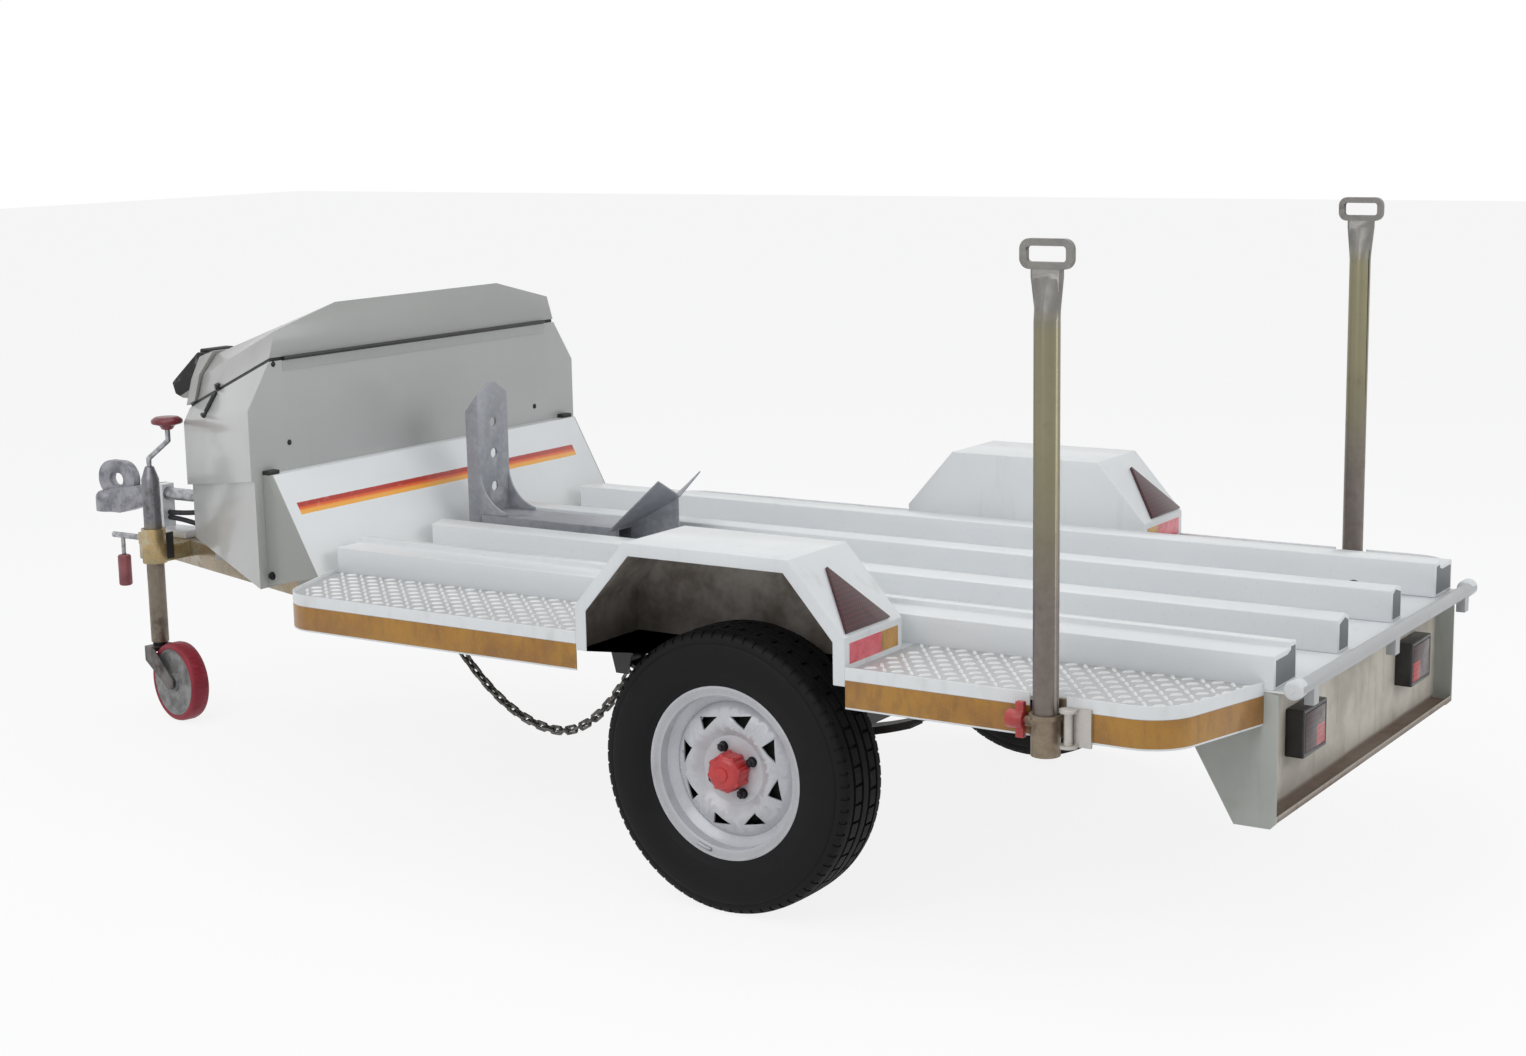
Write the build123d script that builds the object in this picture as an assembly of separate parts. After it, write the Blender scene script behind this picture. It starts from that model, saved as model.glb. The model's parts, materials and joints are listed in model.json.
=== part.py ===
from build123d import *
import math
import os

# Single-axle motorcycle trailer with a nose box, a jockey stand and two lift-out tie-down masts.
# Millimetres, +X forward, +Y left, +Z up. Sizes are measured from the axle line (x = 0), the centre
# line (y = 0) and the ground (z = 0); write() moves every piece so that the middle of the length is
# at x = 0.

os.makedirs("parts", exist_ok=True)

# ---- sheet, fits and gaps ----
SHEET = 3.0  # body sheet
TUBE_WALL = 3.0  # wall of every tube and box section
SEAT_GAP = 0.3  # between two bodies that rest on each other
SLIDE_GAP = 0.3  # radial gap of a tube that slides in another
BEARING_GAP = 0.05  # radial gap of a running shaft
OVERCUT = 1.0  # how far a cutting shape reaches past the face it opens

# ---- road wheels ----
TYRE_RADIUS = 297.0
TYRE_WIDTH = 165.0
TYRE_BULGE_RADIUS = 238.0
TYRE_TREAD_WIDTH = 124.0
TYRE_SHOULDER_DROP = 11.0
RIM_SEAT_RADIUS = 165.0
RIM_FLANGE_HEIGHT = 17.0  # of the flange above the tyre's seat
RIM_WELL_RADIUS = 146.0
RIM_WIDTH = 132.0
RIM_SHEET = 4.0
RIM_DISC_THICK = 5.0
RIM_DISC_REACH = 30.0  # from the wheel's middle plane to the face of the disc
RIM_CROWN_RADIUS = 104.0
RIM_CROWN_HEIGHT = 16.0
RIM_CROWN_ROLL = 14.0  # how far inside the crown its top starts to roll over
RIM_CROWN_DROP = 2.0
RIM_SLOPE_RADIUS = 128.0
RIM_SLOPE_HEIGHT = 34.0
RIM_DISC_FOOT = 18.0
RIM_WELL_OUTER = 20.0  # the well's outer and inner ends, from the wheel's middle plane
RIM_WELL_INNER = -30.0
RIM_WELL_FLARE = 14.0
VENT_COUNT = 8
VENT_INNER_RADIUS = 99.0
VENT_OUTER_RADIUS = 129.0
VENT_PHASE = 52.5  # of the first pair of vents, in degrees
VENT_BASE_ANGLE = 15.0
VENT_TIP_ANGLE = 37.0
WHEEL_Y = 682.5
HUB_FLANGE_RADIUS = 68.0
HUB_FLANGE_THICK = 8.0
HUB_BARREL_RADIUS = 36.0
HUB_LENGTH = 80.0
HUB_NOSE_RADIUS = 29.7
HUB_NOSE_HEIGHT = 4.0
CAP_RADIUS = 38.0
CAP_LENGTH = 45.0
CAP_CHAMFER = 9.0

# ---- axle and leaf springs ----
AXLE_SQUARE = 45.0
AXLE_HALF_LENGTH = 610.0
STUB_RADIUS = 17.0
STUB_LENGTH = 85.0
SPRING_Y = 490.0
SPRING_WIDTH = 50.0
SPRING_LEAF = 8.0
SPRING_HALF_SPANS = (420.0, 300.0, 190.0)
SPRING_EYE_HEIGHT = 438.0
SPRING_EYE_RADIUS = 16.0
SPRING_PIN_RADIUS = 8.0
HANGER_PLATE = 5.0
HANGER_LENGTH = 64.0
HANGER_DROP = 62.0
CLAMP_PLATE = 8.0
CLAMP_LENGTH = 92.0
CLAMP_ROD_RADIUS = 5.0

# ---- chassis and drawbar ----
RAIL_Y = 490.0
RAIL_WIDTH = 40.0
RAIL_HEIGHT = 80.0
RAIL_FRONT_X = 1268.0
CROSS_MEMBER_XS = (-940.0, -450.0, 40.0, 530.0, 1020.0)
CROSS_MEMBER_WIDTH = 40.0
CROSS_MEMBER_HEIGHT = 50.0
OUTRIGGER_XS = (-640.0, -400.0, 400.0, 1020.0)
OUTRIGGER_SIZE = 30.0
DRAWBAR_TIP_X = 2362.0
DRAWBAR_MEET_X = 2333.0  # where the two centre lines cross
DRAWBAR_REAR_X = 790.0
DRAWBAR_SLOPE = 0.31  # sideways run for each unit of length
DRAWBAR_WIDTH = 40.0
DRAWBAR_HEIGHT = 70.0
NOSE_BEARERS = ((1478.0, 400.0), (1950.0, 220.0))  # x and half length
NOSE_BEARER_WIDTH = 40.0

# ---- deck ----
DECK_TOP = 553.0
DECK_FRONT_GAP = 3.0  # from the front of the deck to the foot of the splash panel
SIDE_RAIL_REAR_X = -1080.0
SIDE_RAIL_FRONT_X = 1240.0
OUTER_RAIL_OUTSIDE = 530.0
OUTER_RAIL_STEP = 452.0
OUTER_RAIL_INSIDE = 415.0
OUTER_RAIL_HEIGHT = 66.0
OUTER_RIDGE_HEIGHT = 78.0
INNER_RAIL_OUTSIDE = 190.0
INNER_RAIL_PEAK = 152.0
INNER_RAIL_INSIDE = 128.0
INNER_RAIL_HEIGHT = 67.0
INNER_PEAK_HEIGHT = 76.0

# ---- side platforms, skirts and wheel arches ----
BODY_HALF_WIDTH = 805.0
TREAD_TOP = 560.0
SKIRT_TOP = 569.0
SKIRT_BOTTOM = 486.0
FRONT_CORNER_X = 1150.0
FRONT_EDGE_X = 1245.0
REAR_CORNER_X = -990.0
REAR_EDGE_X = -1062.0
CORNER_RADIUS = 100.0
ARCH_HALF_LENGTH = 324.0
ARCH_TOP_HALF_LENGTH = 198.0
ARCH_TOP = 766.5
ARCH_KNEE = 625.0
ARCH_BOTTOM = 530.0
ARCH_INSIDE_Y = 584.0
ARCH_LIP = 27.0
REFLECTOR_SIDE = 165.0
REFLECTOR_THICK = 8.0
REFLECTOR_DROP = 40.0  # from the top edge of the slope to the reflector's apex
REFLECTOR_Y = 712.0

# ---- rear end ----
CROSSBAR_X = -1124.0
CROSSBAR_Z = 560.0
CROSSBAR_RADIUS = 14.0
CROSSBAR_HALF_LENGTH = 529.0
CROSSBAR_LUG_YS = (-460.0, 0.0, 460.0)
CROSSBAR_LUG_SIZE = 26.0
VALANCE_BOTTOM = 288.0
VALANCE_REAR_X = -1090.0
VALANCE_TOE_X = -1006.0
VALANCE_TOP_X = -856.0
PANEL_X = -1045.0
PANEL_BOTTOM = 300.0
PANEL_LIP = 12.0
LAMP_Y = 320.0
LAMP_WIDTH = 124.0
LAMP_BOTTOM = 388.0
LAMP_HEIGHT = 95.0
LAMP_DEPTH = 38.0
LAMP_RIM = 8.0
LENS_DEPTH = 6.0

# ---- tie-down masts and their sockets ----
MAST_X = -756.0
MAST_STANDOFF = 9.0  # from the side of the body to the mast's centre line
MAST_RADIUS = 24.0
MAST_BOTTOM = 462.0
MAST_ROUND_LENGTH = 788.0
MAST_NECK_LENGTH = 90.0
MAST_NECK_WIDTH = 64.0
MAST_NECK_THICK = 14.0
LOOP_HEIGHT = 54.0
LOOP_WIDTH = 104.0
LOOP_WIRE = 13.0
LOOP_CORNER_RADIUS = 19.0
SOCKET_WALL = 3.2
SOCKET_TOP = 535.0
SOCKET_FLOOR = 5.0
SOCKET_COLLAR_RADIUS = 31.0
SOCKET_COLLAR_HEIGHT = 9.0
POCKET_HALF_LENGTH = 37.0
POCKET_DEPTH = 25.0  # from the side of the body to the pocket's back plate
POCKET_BACK_THICK = 10.0
KNOB_OFFSET = 14.0  # of the knob's axis outwards from the mast's
KNOB_Z = 522.0
KNOB_RADIUS = 17.0
KNOB_LENGTH = 34.0
KNOB_STEM_RADIUS = 6.0
KNOB_STEM_LENGTH = 4.0
KNOB_WING = 34.0
KEEPER_ROD_RADIUS = 8.0
KEEPER_GAP = 4.0
KEEPER_LENGTH = 48.0
KEEPER_DISC_RADIUS = 17.0
KEEPER_DISC_THICK = 6.0
KEEPER_BOTTOM = 479.0
KEEPER_HEIGHT = 72.0
KEEPER_THICK = 6.0

# ---- nose box ----
NOSE_REAR_X = 1415.0
NOSE_FRONT_X = 2105.0
NOSE_BOTTOM = 515.0
NOSE_REAR_HALF = 622.0
NOSE_TAPER = 0.645
NOSE_LOWER_INSET = 10.0
NOSE_LOWER_SETBACK = 29.0  # how far the front below the step stands behind the front above it
NOSE_STEP_Z = 775.0
NOSE_SHOULDER_Z = 943.0
NOSE_FALL = 0.175  # drop of the step and the shoulder for each unit of length
NOSE_SEAM_Z = 1056.0
NOSE_SEAM_FALL = 0.28
NOSE_LEAN = 0.7
SEAL_THICK = 8.0
SEAL_WIDTH = 14.0
SEAL_INSET = 2.0
LID_SIDE_TOP_Z = 1123.0
LID_SIDE_LEAN = 0.36
LID_TOP_Z = 1175.0
LID_TOP_REAR_HALF = 308.0
LID_TOP_FRONT_HALF = 90.0
LID_HINGE_RADIUS = 4.0
LID_HINGE_HALF_LENGTH = 500.0
LID_HINGE_LEAF = 30.0
LID_HINGE_LEAF_THICK = 1.5

# ---- splash panel between the deck and the nose box ----
SPLASH_TOP_GAP = 33.0  # from the panel's top edge to the rear of the nose box
SPLASH_TOP_Z = 787.0
SPLASH_RUN = 129.0
SPLASH_HALF_WIDTH = 582.0
GUSSET_BOTTOM_Z = 520.0

# ---- nose latch ----
LATCH_HALF_WIDTH = 42.0
CATCH_HALF_WIDTH = 90.0
CATCH_HOOD_THICK = 10.0  # of the hood that wraps the front end of the lid
CATCH_HOOD_LENGTH = 70.0
CATCH_HOOD_REACH = 9.0
CATCH_BROW_REACH = 26.0  # of the catch's top, nose and chin ahead of the nose box
CATCH_NOSE_REACH = 128.0
CATCH_CHIN_REACH = 92.0
CATCH_BOTTOM = 873.0
CATCH_NOSE_Z = 912.0
CATCH_TOP = 999.0
LATCH_TOP = 862.0
LATCH_BOTTOM = 832.0
LEVER_THICK = 14.0
LEVER_BOTTOM = 806.0

# ---- wheel chock in the middle channel ----
CHOCK_X = 1190.0
CHOCK_SHEET = 5.0
CHOCK_HALF_WIDTH = 58.0
CHOCK_TOP = 955.0
CHOCK_SHOULDER = 926.0
CHOCK_PEAK_HALF = 14.0
CHOCK_FLANGE = 40.0
CHOCK_HOLE_ZS = (693.0, 777.0, 855.0)
CHOCK_HOLE_RADIUS = 12.5
CHOCK_GUSSET_TOP = 735.0
CHOCK_GUSSET_REACH = 82.0
CHOCK_GUSSET_TOE = 8.0
CHOCK_GUSSET_BOW = 26.0
CHOCK_BASE_TOP = 628.0
CRADLE_BEND_X = 765.0
CRADLE_REAR_X = 620.0
CRADLE_HALF_WIDTH = 88.0
CRADLE_WING_TOP = 760.0
CRADLE_VEE_TOP = 712.0

# ---- coupling ----
PLATE_REAR_X = 2270.0
PLATE_FRONT_X = 2425.0
PLATE_HALF_WIDTH = 62.0
PLATE_THICK = 20.0
BRACKET_REAR_X = 2372.0
BRACKET_FRONT_X = 2400.0
BRACKET_HALF_WIDTH = 45.0
BRACKET_TOP = 612.0
SHAFT_Z = 585.0
SHAFT_RADIUS = 17.0
HEAD_REAR_X = 2408.0
HEAD_SLEEVE_RADIUS = 26.0
BALL_X = 2608.0
BALL_SOCKET_RADIUS = 25.2
BALL_THROAT = 15.0
HEAD_DOME_RADIUS = 42.0
HEAD_BOTTOM = 520.0
HEAD_DOME_TOP = 577.0
HEAD_HALF_WIDTH = 30.0
HEAD_TOP = 588.0
HANDLE_X = 2567.0
HANDLE_Z = 612.0
HANDLE_LENGTH = 146.0
HANDLE_HEIGHT = 106.0
HANDLE_HOLE_LENGTH = 54.0
HANDLE_HOLE_HEIGHT = 36.0
HANDLE_HALF_WIDTH = 13.0
HANDLE_FLOOR = 566.0
CABLE_RADIUS = 7.0
CABLE_LOW_Z = 500.0
CABLE_HIGH_Z = 543.0
CABLE_MEET_Z = 524.0
CABLE_BEND = 60.0
CABLE_END = 40.0

# ---- jockey stand ----
JOCKEY_X = 2266.0
JOCKEY_Y = 160.0
JOCKEY_TUBE_RADIUS = 24.0
JOCKEY_TUBE_BOTTOM = 205.0
JOCKEY_TUBE_TOP = 655.0
JOCKEY_CONE_TOP = 690.0
JOCKEY_CONE_RADIUS = 12.0
JOCKEY_INNER_RADIUS = 20.0
JOCKEY_INNER_LENGTH = 330.0
FORK_TOP = 190.0
FORK_PLATE = 4.0
JOCKEY_WHEEL_RADIUS = 107.5
JOCKEY_WHEEL_WIDTH = 54.0
JOCKEY_DISC_RADIUS = 91.0
JOCKEY_HUB_RADIUS = 24.0
JOCKEY_HUB_FLARE = 2.0
JOCKEY_DISH = 8.0  # depth and rim width of the hollow in each face of the disc
JOCKEY_EDGE = 2.0
JOCKEY_TREAD_SETBACK = 14.0
JOCKEY_SHOULDER_SETBACK = 4.0
JOCKEY_SHOULDER_DROP = 3.0
JOCKEY_BEAD_RISE = 5.0
JOCKEY_TRAIL = 94.0
JOCKEY_STEER = -12.0  # how far the caster is turned from straight ahead, in degrees
JOCKEY_AXLE_RADIUS = 6.0
WHEEL_SIDE_GAP = 5.0
WHEEL_FRONT_GAP = 6.0
CRANK_RADIUS = 7.0
CRANK_KNEE_Z = 712.0
CRANK_TOP_X = 2187.0
CRANK_TOP_Z = 766.0
GRIP_BOTTOM = 796.0
GRIP_RADIUS = 42.0
GRIP_HEIGHT = 34.0
CLAMP_RING_RADIUS = 33.0
CLAMP_RING_BOTTOM = 425.0
CLAMP_RING_HEIGHT = 95.0
CLAMP_ARM_FRONT_X = 2352.0
CLAMP_ARM_REAR_X = 2246.0
CLAMP_SCREW_Z = 490.0
CLAMP_SCREW_RADIUS = 8.0
CLAMP_SCREW_END_X = 2424.0
CLAMP_LEVER_X = 2388.0
CLAMP_GRIP_TOP = 436.0
CLAMP_GRIP_LENGTH = 86.0
CLAMP_GRIP_RADIUS = 18.0

# ---- safety chain ----
CHAIN_FRONT_X = 975.0
CHAIN_FRONT_Z = 393.0
CHAIN_REAR_X = 436.0
CHAIN_REAR_Z = 402.0
CHAIN_LOW_X = 672.0
CHAIN_LOW_Z = 229.0
CHAIN_WIRE = 6.0
CHAIN_INNER_LENGTH = 24.0
CHAIN_INNER_WIDTH = 9.0
CHAIN_SLACK = 0.8
CHAIN_CORNER = 5.0

# ---- worked out from the sizes above ----
AXLE_HEIGHT = TYRE_RADIUS
DECK_BOTTOM = DECK_TOP - SHEET
RIM_FLANGE_RADIUS = RIM_SEAT_RADIUS + RIM_FLANGE_HEIGHT
RAIL_BOTTOM = DECK_BOTTOM - RAIL_HEIGHT
RAIL_INSIDE = RAIL_Y - RAIL_WIDTH / 2
RAIL_OUTSIDE = RAIL_Y + RAIL_WIDTH / 2
VALANCE_HALF_WIDTH = OUTER_RAIL_OUTSIDE
DRAWBAR_TOP = RAIL_BOTTOM
SPLASH_TOP_X = NOSE_REAR_X - SPLASH_TOP_GAP
SPLASH_BOTTOM_X = SPLASH_TOP_X - SPLASH_RUN
DECK_FRONT_X = SPLASH_BOTTOM_X - DECK_FRONT_GAP
MAST_Y = BODY_HALF_WIDTH + MAST_STANDOFF
MAST_ROUND_TOP = MAST_BOTTOM + MAST_ROUND_LENGTH
MAST_NECK_TOP = MAST_ROUND_TOP + MAST_NECK_LENGTH
LOOP_TOP = MAST_NECK_TOP + LOOP_HEIGHT
POCKET_FRONT_X = MAST_X + POCKET_HALF_LENGTH
POCKET_REAR_X = MAST_X - POCKET_HALF_LENGTH
POCKET_BACK_Y = BODY_HALF_WIDTH - POCKET_DEPTH
KNOB_Y = MAST_Y + KNOB_OFFSET
KEEPER_FRONT_X = POCKET_REAR_X - KEEPER_GAP
DRAWBAR_BOTTOM = DRAWBAR_TOP - DRAWBAR_HEIGHT
CROSSBAR_FRONT_X = CROSSBAR_X + math.sqrt(CROSSBAR_RADIUS**2 - (CROSSBAR_Z - DECK_TOP) ** 2)
HEAD_FRONT_X = BALL_X + HEAD_DOME_RADIUS
LENGTH_MIDDLE = (HEAD_FRONT_X + CROSSBAR_X - CROSSBAR_RADIUS) / 2


def across(outline, y_low, y_high):
    """A solid whose X-Z outline is the same from y_low to y_high."""
    face = make_face(Polyline(*[(x, y_low, z) for x, z in outline], close=True))
    return extrude(face, amount=y_high - y_low, dir=(0, 1, 0))


def along(outline, x_low, x_high):
    """A solid whose Y-Z outline is the same from x_low to x_high."""
    face = make_face(Polyline(*[(x_low, y, z) for y, z in outline], close=True))
    return extrude(face, amount=x_high - x_low, dir=(1, 0, 0))


def upward(outline, z_low, z_high):
    """A solid whose X-Y outline is the same from z_low to z_high."""
    face = make_face(Polyline(*[(x, y, z_low) for x, y in outline], close=True))
    return extrude(face, amount=z_high - z_low, dir=(0, 0, 1))


def block(x_low, x_high, y_low, y_high, z_low, z_high):
    """A box between six planes."""
    return upward([(x_low, y_low), (x_high, y_low), (x_high, y_high), (x_low, y_high)], z_low, z_high)


def rod(start, end, radius):
    """A round bar between two points."""
    direction = Vector(*end) - Vector(*start)
    base = Plane(origin=start, z_dir=direction)
    return extrude(base * Circle(radius), amount=direction.length)


def pipe(start, end, radius, wall):
    """A round tube between two points."""
    return rod(start, end, radius) - rod(start, end, radius - wall)


def turned(profile):
    """A closed profile of (radius, height) points, turned about the Z axis."""
    face = make_face(Polyline(*[(radius, 0, height) for radius, height in profile], close=True))
    return revolve(face, Axis.Z)


def mirrored(shape):
    """The same shape on the other side of the centre line."""
    return mirror(shape, about=Plane.XZ)


def both_sides(shape):
    """A shape and its mirror image, as solids of one node."""
    return Compound(children=[shape, mirrored(shape)])


def write(name, shape):
    """Moves a piece to the part's own origin and writes it."""
    export_step(Pos(-LENGTH_MIDDLE, 0, 0) * shape, f"parts/{name}.step")


# ---- road wheels ----
def on_left_hub(shape):
    """Puts a shape turned about Z on the left wheel's axle, its top outwards."""
    return Plane(origin=(0, WHEEL_Y, AXLE_HEIGHT), x_dir=(1, 0, 0), z_dir=(0, 1, 0)).location * shape


def tyre():
    bead = RIM_SEAT_RADIUS + SEAT_GAP
    clear = RIM_FLANGE_RADIUS + SEAT_GAP
    flange = RIM_WIDTH / 2
    root = flange - 3 * RIM_SHEET
    half = TYRE_WIDTH / 2
    tread = TYRE_TREAD_WIDTH / 2
    shoulder = TYRE_RADIUS - TYRE_SHOULDER_DROP
    low_middle = (clear + TYRE_BULGE_RADIUS) / 2
    high_middle = (shoulder + TYRE_BULGE_RADIUS) / 2
    side = (half + tread + TYRE_SHOULDER_DROP) / 2

    def wall(sign):
        low = ThreePointArc(
            (clear, 0, sign * flange),
            (low_middle, 0, sign * (half - RIM_SHEET)),
            (TYRE_BULGE_RADIUS, 0, sign * half),
        )
        high = ThreePointArc(
            (TYRE_BULGE_RADIUS, 0, sign * half),
            (high_middle, 0, sign * (half - RIM_SHEET / 2)),
            (shoulder, 0, sign * side),
        )
        return low + high

    edges = wall(1) + Line((shoulder, 0, side), (TYRE_RADIUS, 0, tread))
    edges += Line((TYRE_RADIUS, 0, tread), (TYRE_RADIUS, 0, -tread))
    edges += Line((TYRE_RADIUS, 0, -tread), (shoulder, 0, -side)) + wall(-1)
    edges += Polyline((clear, 0, -flange), (clear, 0, -root), (bead, 0, -root), (bead, 0, root))
    edges += Polyline((bead, 0, root), (clear, 0, root), (clear, 0, flange))
    return revolve(make_face(edges), Axis.Z)


def vent(index):
    """One triangular hole in the wheel disc; the holes lie in pairs, base to base."""
    pair = index // 2
    side = 1 if index % 2 else -1
    middle = math.radians(VENT_PHASE + pair * 720.0 / VENT_COUNT)
    base = middle + side * math.radians(VENT_BASE_ANGLE)
    tip = middle + side * math.radians(VENT_TIP_ANGLE)
    mean_radius = (VENT_INNER_RADIUS + VENT_OUTER_RADIUS) / 2
    corners = [(VENT_INNER_RADIUS, base), (VENT_OUTER_RADIUS, base), (mean_radius, tip)]
    outline = [(radius * math.cos(angle), radius * math.sin(angle)) for radius, angle in corners]
    return upward(outline, 0, RIM_WIDTH)


def rim():
    flange = RIM_WIDTH / 2
    seat = flange - 2 * RIM_SHEET
    inner_seat = RIM_SEAT_RADIUS - RIM_SHEET
    inner_well = RIM_WELL_RADIUS - RIM_SHEET
    barrel = turned(
        [
            (RIM_FLANGE_RADIUS, flange),
            (RIM_FLANGE_RADIUS, flange - RIM_SHEET),
            (RIM_SEAT_RADIUS, seat),
            (RIM_SEAT_RADIUS, RIM_WELL_OUTER + RIM_WELL_FLARE),
            (RIM_WELL_RADIUS, RIM_WELL_OUTER),
            (RIM_WELL_RADIUS, RIM_WELL_INNER),
            (RIM_SEAT_RADIUS, RIM_WELL_INNER - RIM_WELL_FLARE),
            (RIM_SEAT_RADIUS, -seat),
            (RIM_FLANGE_RADIUS, RIM_SHEET - flange),
            (RIM_FLANGE_RADIUS, -flange),
            (RIM_FLANGE_RADIUS - RIM_SHEET, -flange),
            (inner_seat, -seat - RIM_SHEET / 2),
            (inner_seat, RIM_WELL_INNER - RIM_WELL_FLARE - RIM_SHEET / 2),
            (inner_well, RIM_WELL_INNER - RIM_SHEET / 2),
            (inner_well, RIM_WELL_OUTER + RIM_SHEET / 2),
            (inner_seat, RIM_WELL_OUTER + RIM_WELL_FLARE + RIM_SHEET / 2),
            (inner_seat, seat + RIM_SHEET / 2),
            (RIM_FLANGE_RADIUS - RIM_SHEET, flange),
        ]
    )
    face = RIM_DISC_REACH
    crown = face + RIM_CROWN_HEIGHT
    edge = inner_well + RIM_SHEET / 2
    upper = [
        (HUB_NOSE_RADIUS + SEAT_GAP, face),
        (HUB_FLANGE_RADIUS + RIM_SHEET, face),
        (RIM_CROWN_RADIUS - RIM_CROWN_ROLL, crown - RIM_CROWN_DROP),
        (RIM_CROWN_RADIUS, crown),
        (RIM_SLOPE_RADIUS, RIM_SLOPE_HEIGHT),
        (edge, RIM_DISC_FOOT),
    ]
    lower = [(radius, height - RIM_DISC_THICK) for radius, height in reversed(upper)]
    disc = turned(upper + lower)
    for index in range(VENT_COUNT):
        disc -= vent(index)
    return barrel + disc


def hub():
    back = RIM_DISC_REACH - RIM_DISC_THICK
    bore = STUB_RADIUS + BEARING_GAP
    tail = back - HUB_LENGTH
    nose = RIM_DISC_REACH + HUB_NOSE_HEIGHT
    return turned(
        [
            (bore, tail),
            (HUB_BARREL_RADIUS, tail),
            (HUB_BARREL_RADIUS, back - HUB_FLANGE_THICK),
            (HUB_FLANGE_RADIUS, back - HUB_FLANGE_THICK),
            (HUB_FLANGE_RADIUS, back),
            (HUB_NOSE_RADIUS, back),
            (HUB_NOSE_RADIUS, nose),
            (0, nose),
            (0, back),
            (bore, back),
        ]
    )


def hub_cap():
    base = RIM_DISC_REACH
    recess = base + HUB_NOSE_HEIGHT + SEAT_GAP
    inside = HUB_NOSE_RADIUS + SEAT_GAP
    end = base + CAP_LENGTH
    return turned(
        [
            (inside, base),
            (CAP_RADIUS, base),
            (CAP_RADIUS, end - CAP_CHAMFER),
            (CAP_RADIUS - CAP_CHAMFER, end),
            (0, end),
            (0, recess),
            (inside, recess),
        ]
    )


for side_name, placed in (("left", lambda shape: shape), ("right", mirrored)):
    write(f"tyre_{side_name}", placed(on_left_hub(tyre())))
    write(f"rim_{side_name}", placed(on_left_hub(rim())))
    write(f"hub_{side_name}", placed(on_left_hub(hub())))
    write(f"hub_cap_{side_name}", placed(on_left_hub(hub_cap())))


# ---- axle and springs ----
def axle_beam():
    half = AXLE_SQUARE / 2
    heights = (AXLE_HEIGHT - half, AXLE_HEIGHT + half)
    beam = block(-half, half, -AXLE_HALF_LENGTH, AXLE_HALF_LENGTH, *heights)
    end = AXLE_HALF_LENGTH + STUB_LENGTH
    stubs = rod((0, -end, AXLE_HEIGHT), (0, end, AXLE_HEIGHT), STUB_RADIUS)
    return beam + stubs


PACK_TOP = AXLE_HEIGHT + AXLE_SQUARE / 2 + SPRING_LEAF * len(SPRING_HALF_SPANS)
EYE_RISE = SPRING_EYE_HEIGHT - (PACK_TOP - SPRING_LEAF / 2)
LEAF_RADIUS = (SPRING_HALF_SPANS[0] ** 2 + EYE_RISE**2) / (2 * EYE_RISE)


def leaf_spring():
    span = SPRING_HALF_SPANS[0]
    top_radius = LEAF_RADIUS - SPRING_LEAF / 2
    centre_z = PACK_TOP + top_radius
    low_y = SPRING_Y - SPRING_WIDTH / 2
    pack = None
    for number, half_span in enumerate(SPRING_HALF_SPANS):
        inner = top_radius + number * SPRING_LEAF
        outer = inner + SPRING_LEAF
        angle = math.asin(half_span / LEAF_RADIUS)

        def end(radius, sign):
            return (sign * radius * math.sin(angle), low_y, centre_z - radius * math.cos(angle))

        edges = ThreePointArc(end(inner, -1), (0, low_y, centre_z - inner), end(inner, 1))
        edges += Line(end(inner, 1), end(outer, 1))
        edges += ThreePointArc(end(outer, 1), (0, low_y, centre_z - outer), end(outer, -1))
        edges += Line(end(outer, -1), end(inner, -1))
        leaf = extrude(make_face(edges), amount=SPRING_WIDTH, dir=(0, 1, 0))
        pack = leaf if pack is None else pack + leaf
    high_y = low_y + SPRING_WIDTH
    for sign in (-1, 1):
        x = sign * span
        pack += rod((x, low_y, SPRING_EYE_HEIGHT), (x, high_y, SPRING_EYE_HEIGHT), SPRING_EYE_RADIUS)
        bore = SPRING_PIN_RADIUS + SEAT_GAP
        bore_start = (x, low_y - OVERCUT, SPRING_EYE_HEIGHT)
        pack -= rod(bore_start, (x, high_y + OVERCUT, SPRING_EYE_HEIGHT), bore)
    return pack


def spring_hanger(x):
    half = HANGER_LENGTH / 2
    inside = SPRING_WIDTH / 2 + SEAT_GAP
    outside = inside + HANGER_PLATE
    foot = HANGER_LENGTH / 4
    bottom = RAIL_BOTTOM - HANGER_DROP
    outline = [(x - half, RAIL_BOTTOM), (x - foot, bottom), (x + foot, bottom), (x + half, RAIL_BOTTOM)]
    bracket = across(outline, SPRING_Y - outside, SPRING_Y - inside)
    bracket += across(outline, SPRING_Y + inside, SPRING_Y + outside)
    roof = RAIL_BOTTOM - HANGER_PLATE
    bracket += block(x - half, x + half, SPRING_Y - outside, SPRING_Y + outside, roof, RAIL_BOTTOM)
    pin_start = (x, SPRING_Y - outside, SPRING_EYE_HEIGHT)
    return bracket + rod(pin_start, (x, SPRING_Y + outside, SPRING_EYE_HEIGHT), SPRING_PIN_RADIUS)


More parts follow.
